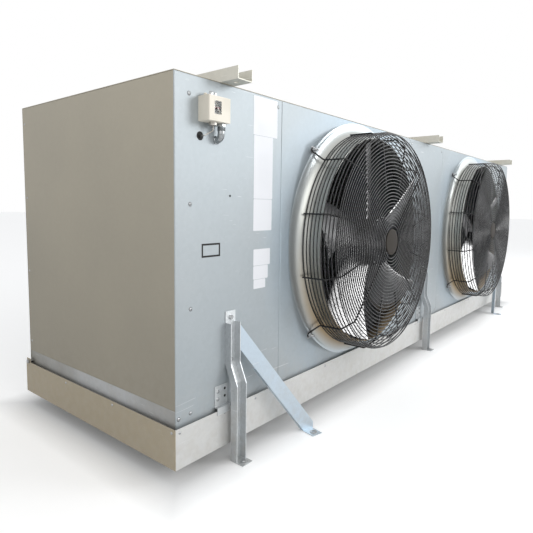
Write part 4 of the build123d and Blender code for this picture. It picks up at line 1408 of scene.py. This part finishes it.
# ---------------------------------------------------------------- studio
@dataclass
class Studio:
    """Pale floor, soft lamps, world and camera."""

    eye: tuple[float, float, float] = (-2.5288, -1.3965, 0.7676)
    yaw: float = 39.28
    dip: float = 5.575
    roll: float = -0.761
    lens: float = 32.19
    shift: float = -0.026
    ambient: float = 0.68
    lamps: dict[str, tuple] = field(default_factory=lambda: {
        "key": ((-2.6, -5.2, 3.6), (0.0, -0.4, 0.5), 3.6, 62.0, (1.0, 0.985, 0.96)),
        "fill": ((-6.0, -0.8, 2.0), (-1.7, 0.0, 0.6), 3.0, 14.0, (1.0, 0.96, 0.90)),
        "window": ((2.1, -4.6, 2.4), (-0.9, -0.4, 0.5), 2.0, 95.0, (0.96, 0.98, 1.0)),
        "sky": ((5.0, -3.2, 2.8), (0.3, -0.4, 0.6), 3.0, 40.0, (0.92, 0.97, 1.0)),
    })

    def floor(self) -> None:
        """A wide pale plane under the feet, with a painted shadow beside the tray: there it is darker and
        glows less.
        """
        side = np.linspace(-40, 40, 9)
        x, y = np.meshgrid(side, side, indexing="ij")
        mesh = bpy.data.meshes.new("studio_floor")
        plane = Surface.grid(np.stack([x, y, 0 * x - 0.0002], -1))
        mesh.from_pydata(plane.points.tolist(), [], plane.faces[0][:, ::-1].tolist())
        thing = bpy.data.objects.new("studio_floor", mesh)
        bpy.context.scene.collection.objects.link(thing)
        paint = bpy.data.materials.new("floor_with_painted_shadow")
        paint.use_nodes = True
        shader = paint.node_tree.nodes["Principled BSDF"]
        shader.inputs["Roughness"].default_value = 0.9
        shader.inputs["Specular IOR Level"].default_value = 0.1
        mesh.materials.append(paint)
        nodes = Nodes(paint.node_tree)
        seen = nodes.add("LightPath").outputs["Is Camera Ray"]
        across, back, _ = nodes.add("SeparateXYZ", {0: nodes.add("TexCoord").outputs["Object"]}).outputs
        # Painted shadow: within 13 cm of the tray's outline the floor is darker and its glow to the camera
        # fades out.
        beside = nodes.math("SUBTRACT", nodes.math("ABSOLUTE", across), HALF_LENGTH)
        away = nodes.math("MAXIMUM", beside, nodes.math("ADD", nodes.math("ABSOLUTE", back), FRONT))
        near = nodes.ramp(away, 0.0, 0.13, 0.0, 1.0)
        glow = nodes.blend(near, (0, 0, 0, 1), (0.28, 0.28, 0.28, 1))
        lift = nodes.blend(seen, (0, 0, 0, 1), glow)
        tone = nodes.blend(near, (0.80, 0.80, 0.80, 1), (0.93, 0.93, 0.93, 1))
        links = paint.node_tree.links
        links.new(tone, shader.inputs["Base Color"])
        links.new(lift, shader.inputs["Emission Color"])
        shader.inputs["Emission Strength"].default_value = 1.0

    def world(self) -> None:
        """White to the camera, to gloss and through glass; an even pale light on everything else."""
        world = bpy.data.worlds.new("studio_world")
        bpy.context.scene.world = world
        world.use_nodes = True
        nodes = Nodes(world.node_tree)
        world.node_tree.nodes.clear()
        path = nodes.add("LightPath").outputs
        seen = nodes.math("MAXIMUM", path["Is Camera Ray"], path["Is Glossy Ray"])
        seen = nodes.math("MAXIMUM", seen, path["Is Transmission Ray"])
        light = nodes.add("Background", {"Color": (0.97, 0.985, 1.0, 1), "Strength": self.ambient})
        white = nodes.add("Background", {"Color": (1, 1, 1, 1), "Strength": 1.0})
        mixed = nodes.add("MixShader", {0: seen, 1: light.outputs[0], 2: white.outputs[0]})
        out = nodes.add("OutputWorld")
        world.node_tree.links.new(mixed.outputs[0], out.inputs[0])

    @staticmethod
    def aimed(place: tuple[float, float, float], aim: tuple[float, float, float]) -> Matrix:
        """The place and turn of a lamp whose -Z runs to its aim."""
        back = unit(np.array(place) - np.array(aim))
        right = unit(np.cross([0, 0, 1.0], back))
        turn = np.stack([right, np.cross(back, right), back], 1)
        return Matrix.Translation(place) @ Matrix(turn.tolist()).to_4x4()

    def light(self) -> None:
        """Square soft lamps."""
        for name, (place, aim, size, power, colour) in self.lamps.items():
            lamp = bpy.data.lights.new(name, "AREA")
            lamp.size, lamp.energy, lamp.color = size, power, colour
            thing = bpy.data.objects.new(name, lamp)
            bpy.context.scene.collection.objects.link(thing)
            thing.matrix_world = self.aimed(place, aim)

    def card(
        self, name: str, place: tuple[float, float, float], size: tuple[float, float], power: float,
        pieces: list[str],
    ) -> None:
        """A soft card that only the named pieces mirror, as black gloss shows its form by what it mirrors.

        Args:
            name: the card's name.
            place: where it stands.
            size: its width and height.
            power: its power in watts.
            pieces: the pieces that mirror it.
        """
        lamp = bpy.data.lights.new(name, "AREA")
        lamp.shape, lamp.size, lamp.size_y, lamp.energy = "RECTANGLE", *size, power
        thing = bpy.data.objects.new(name, lamp)
        bpy.context.scene.collection.objects.link(thing)
        thing.matrix_world = self.aimed(place, (-0.1, -0.4, 0.6))
        receivers = bpy.data.collections.new(name + "_receivers")
        for piece in pieces:
            receivers.objects.link(bpy.data.objects[piece])
        thing.light_linking.receiver_collection = receivers

    def camera(self) -> None:
        """The camera: its forward direction from yaw and dip, its right and down turned by the roll."""
        yaw, dip, roll = np.radians([self.yaw, self.dip, self.roll])
        ahead = np.array([np.cos(yaw) * np.cos(dip), np.sin(yaw) * np.cos(dip), -np.sin(dip)])
        level = np.array([np.sin(yaw), -np.cos(yaw), 0.0])
        below = np.cross(ahead, level)
        right = np.cos(roll) * level + np.sin(roll) * below
        down = -np.sin(roll) * level + np.cos(roll) * below
        data = bpy.data.cameras.new("camera")
        data.lens, data.sensor_width, data.shift_y = self.lens, 36.0, self.shift
        thing = bpy.data.objects.new("camera", data)
        bpy.context.scene.collection.objects.link(thing)
        turn = np.stack([right, -down, -ahead], 1)
        thing.matrix_world = Matrix.Translation(self.eye) @ Matrix(turn.tolist()).to_4x4()
        bpy.context.scene.camera = thing

    def build(self) -> None:
        """Sets up the whole studio."""
        bpy.context.scene.view_settings.view_transform = "Standard"
        self.floor()
        self.world()
        self.light()
        self.camera()


def main() -> None:
    """Builds the studio and every sub-assembly in order."""
    logging.basicConfig(level=logging.INFO, format="%(message)s")
    workshop = Workshop()
    hardware = Hardware(workshop)
    studio = Studio()
    studio.build()
    workshop.dress_solids()
    Cabinet(workshop).build()
    for name in ("left", "right"):
        FanSection(name, workshop, hardware).build()
    blades = [f"impeller_blades_{side}" for side in ("left", "right")]
    studio.card("blade_card", (2.0, -5.0, 1.3), (6.4, 3.4), 1200.0, blades)
    wires = [f"guard_basket_{side}" for side in ("left", "right")]
    studio.card("wire_card", (1.8, -4.2, 0.25), (3.0, 0.40), 90.0, wires)
    CoilBlock(workshop).build()
    TrayTrim(workshop).build()
    Thermostat(workshop, hardware).build()
    hardware.fit()


if __name__ == "__main__":
    main()
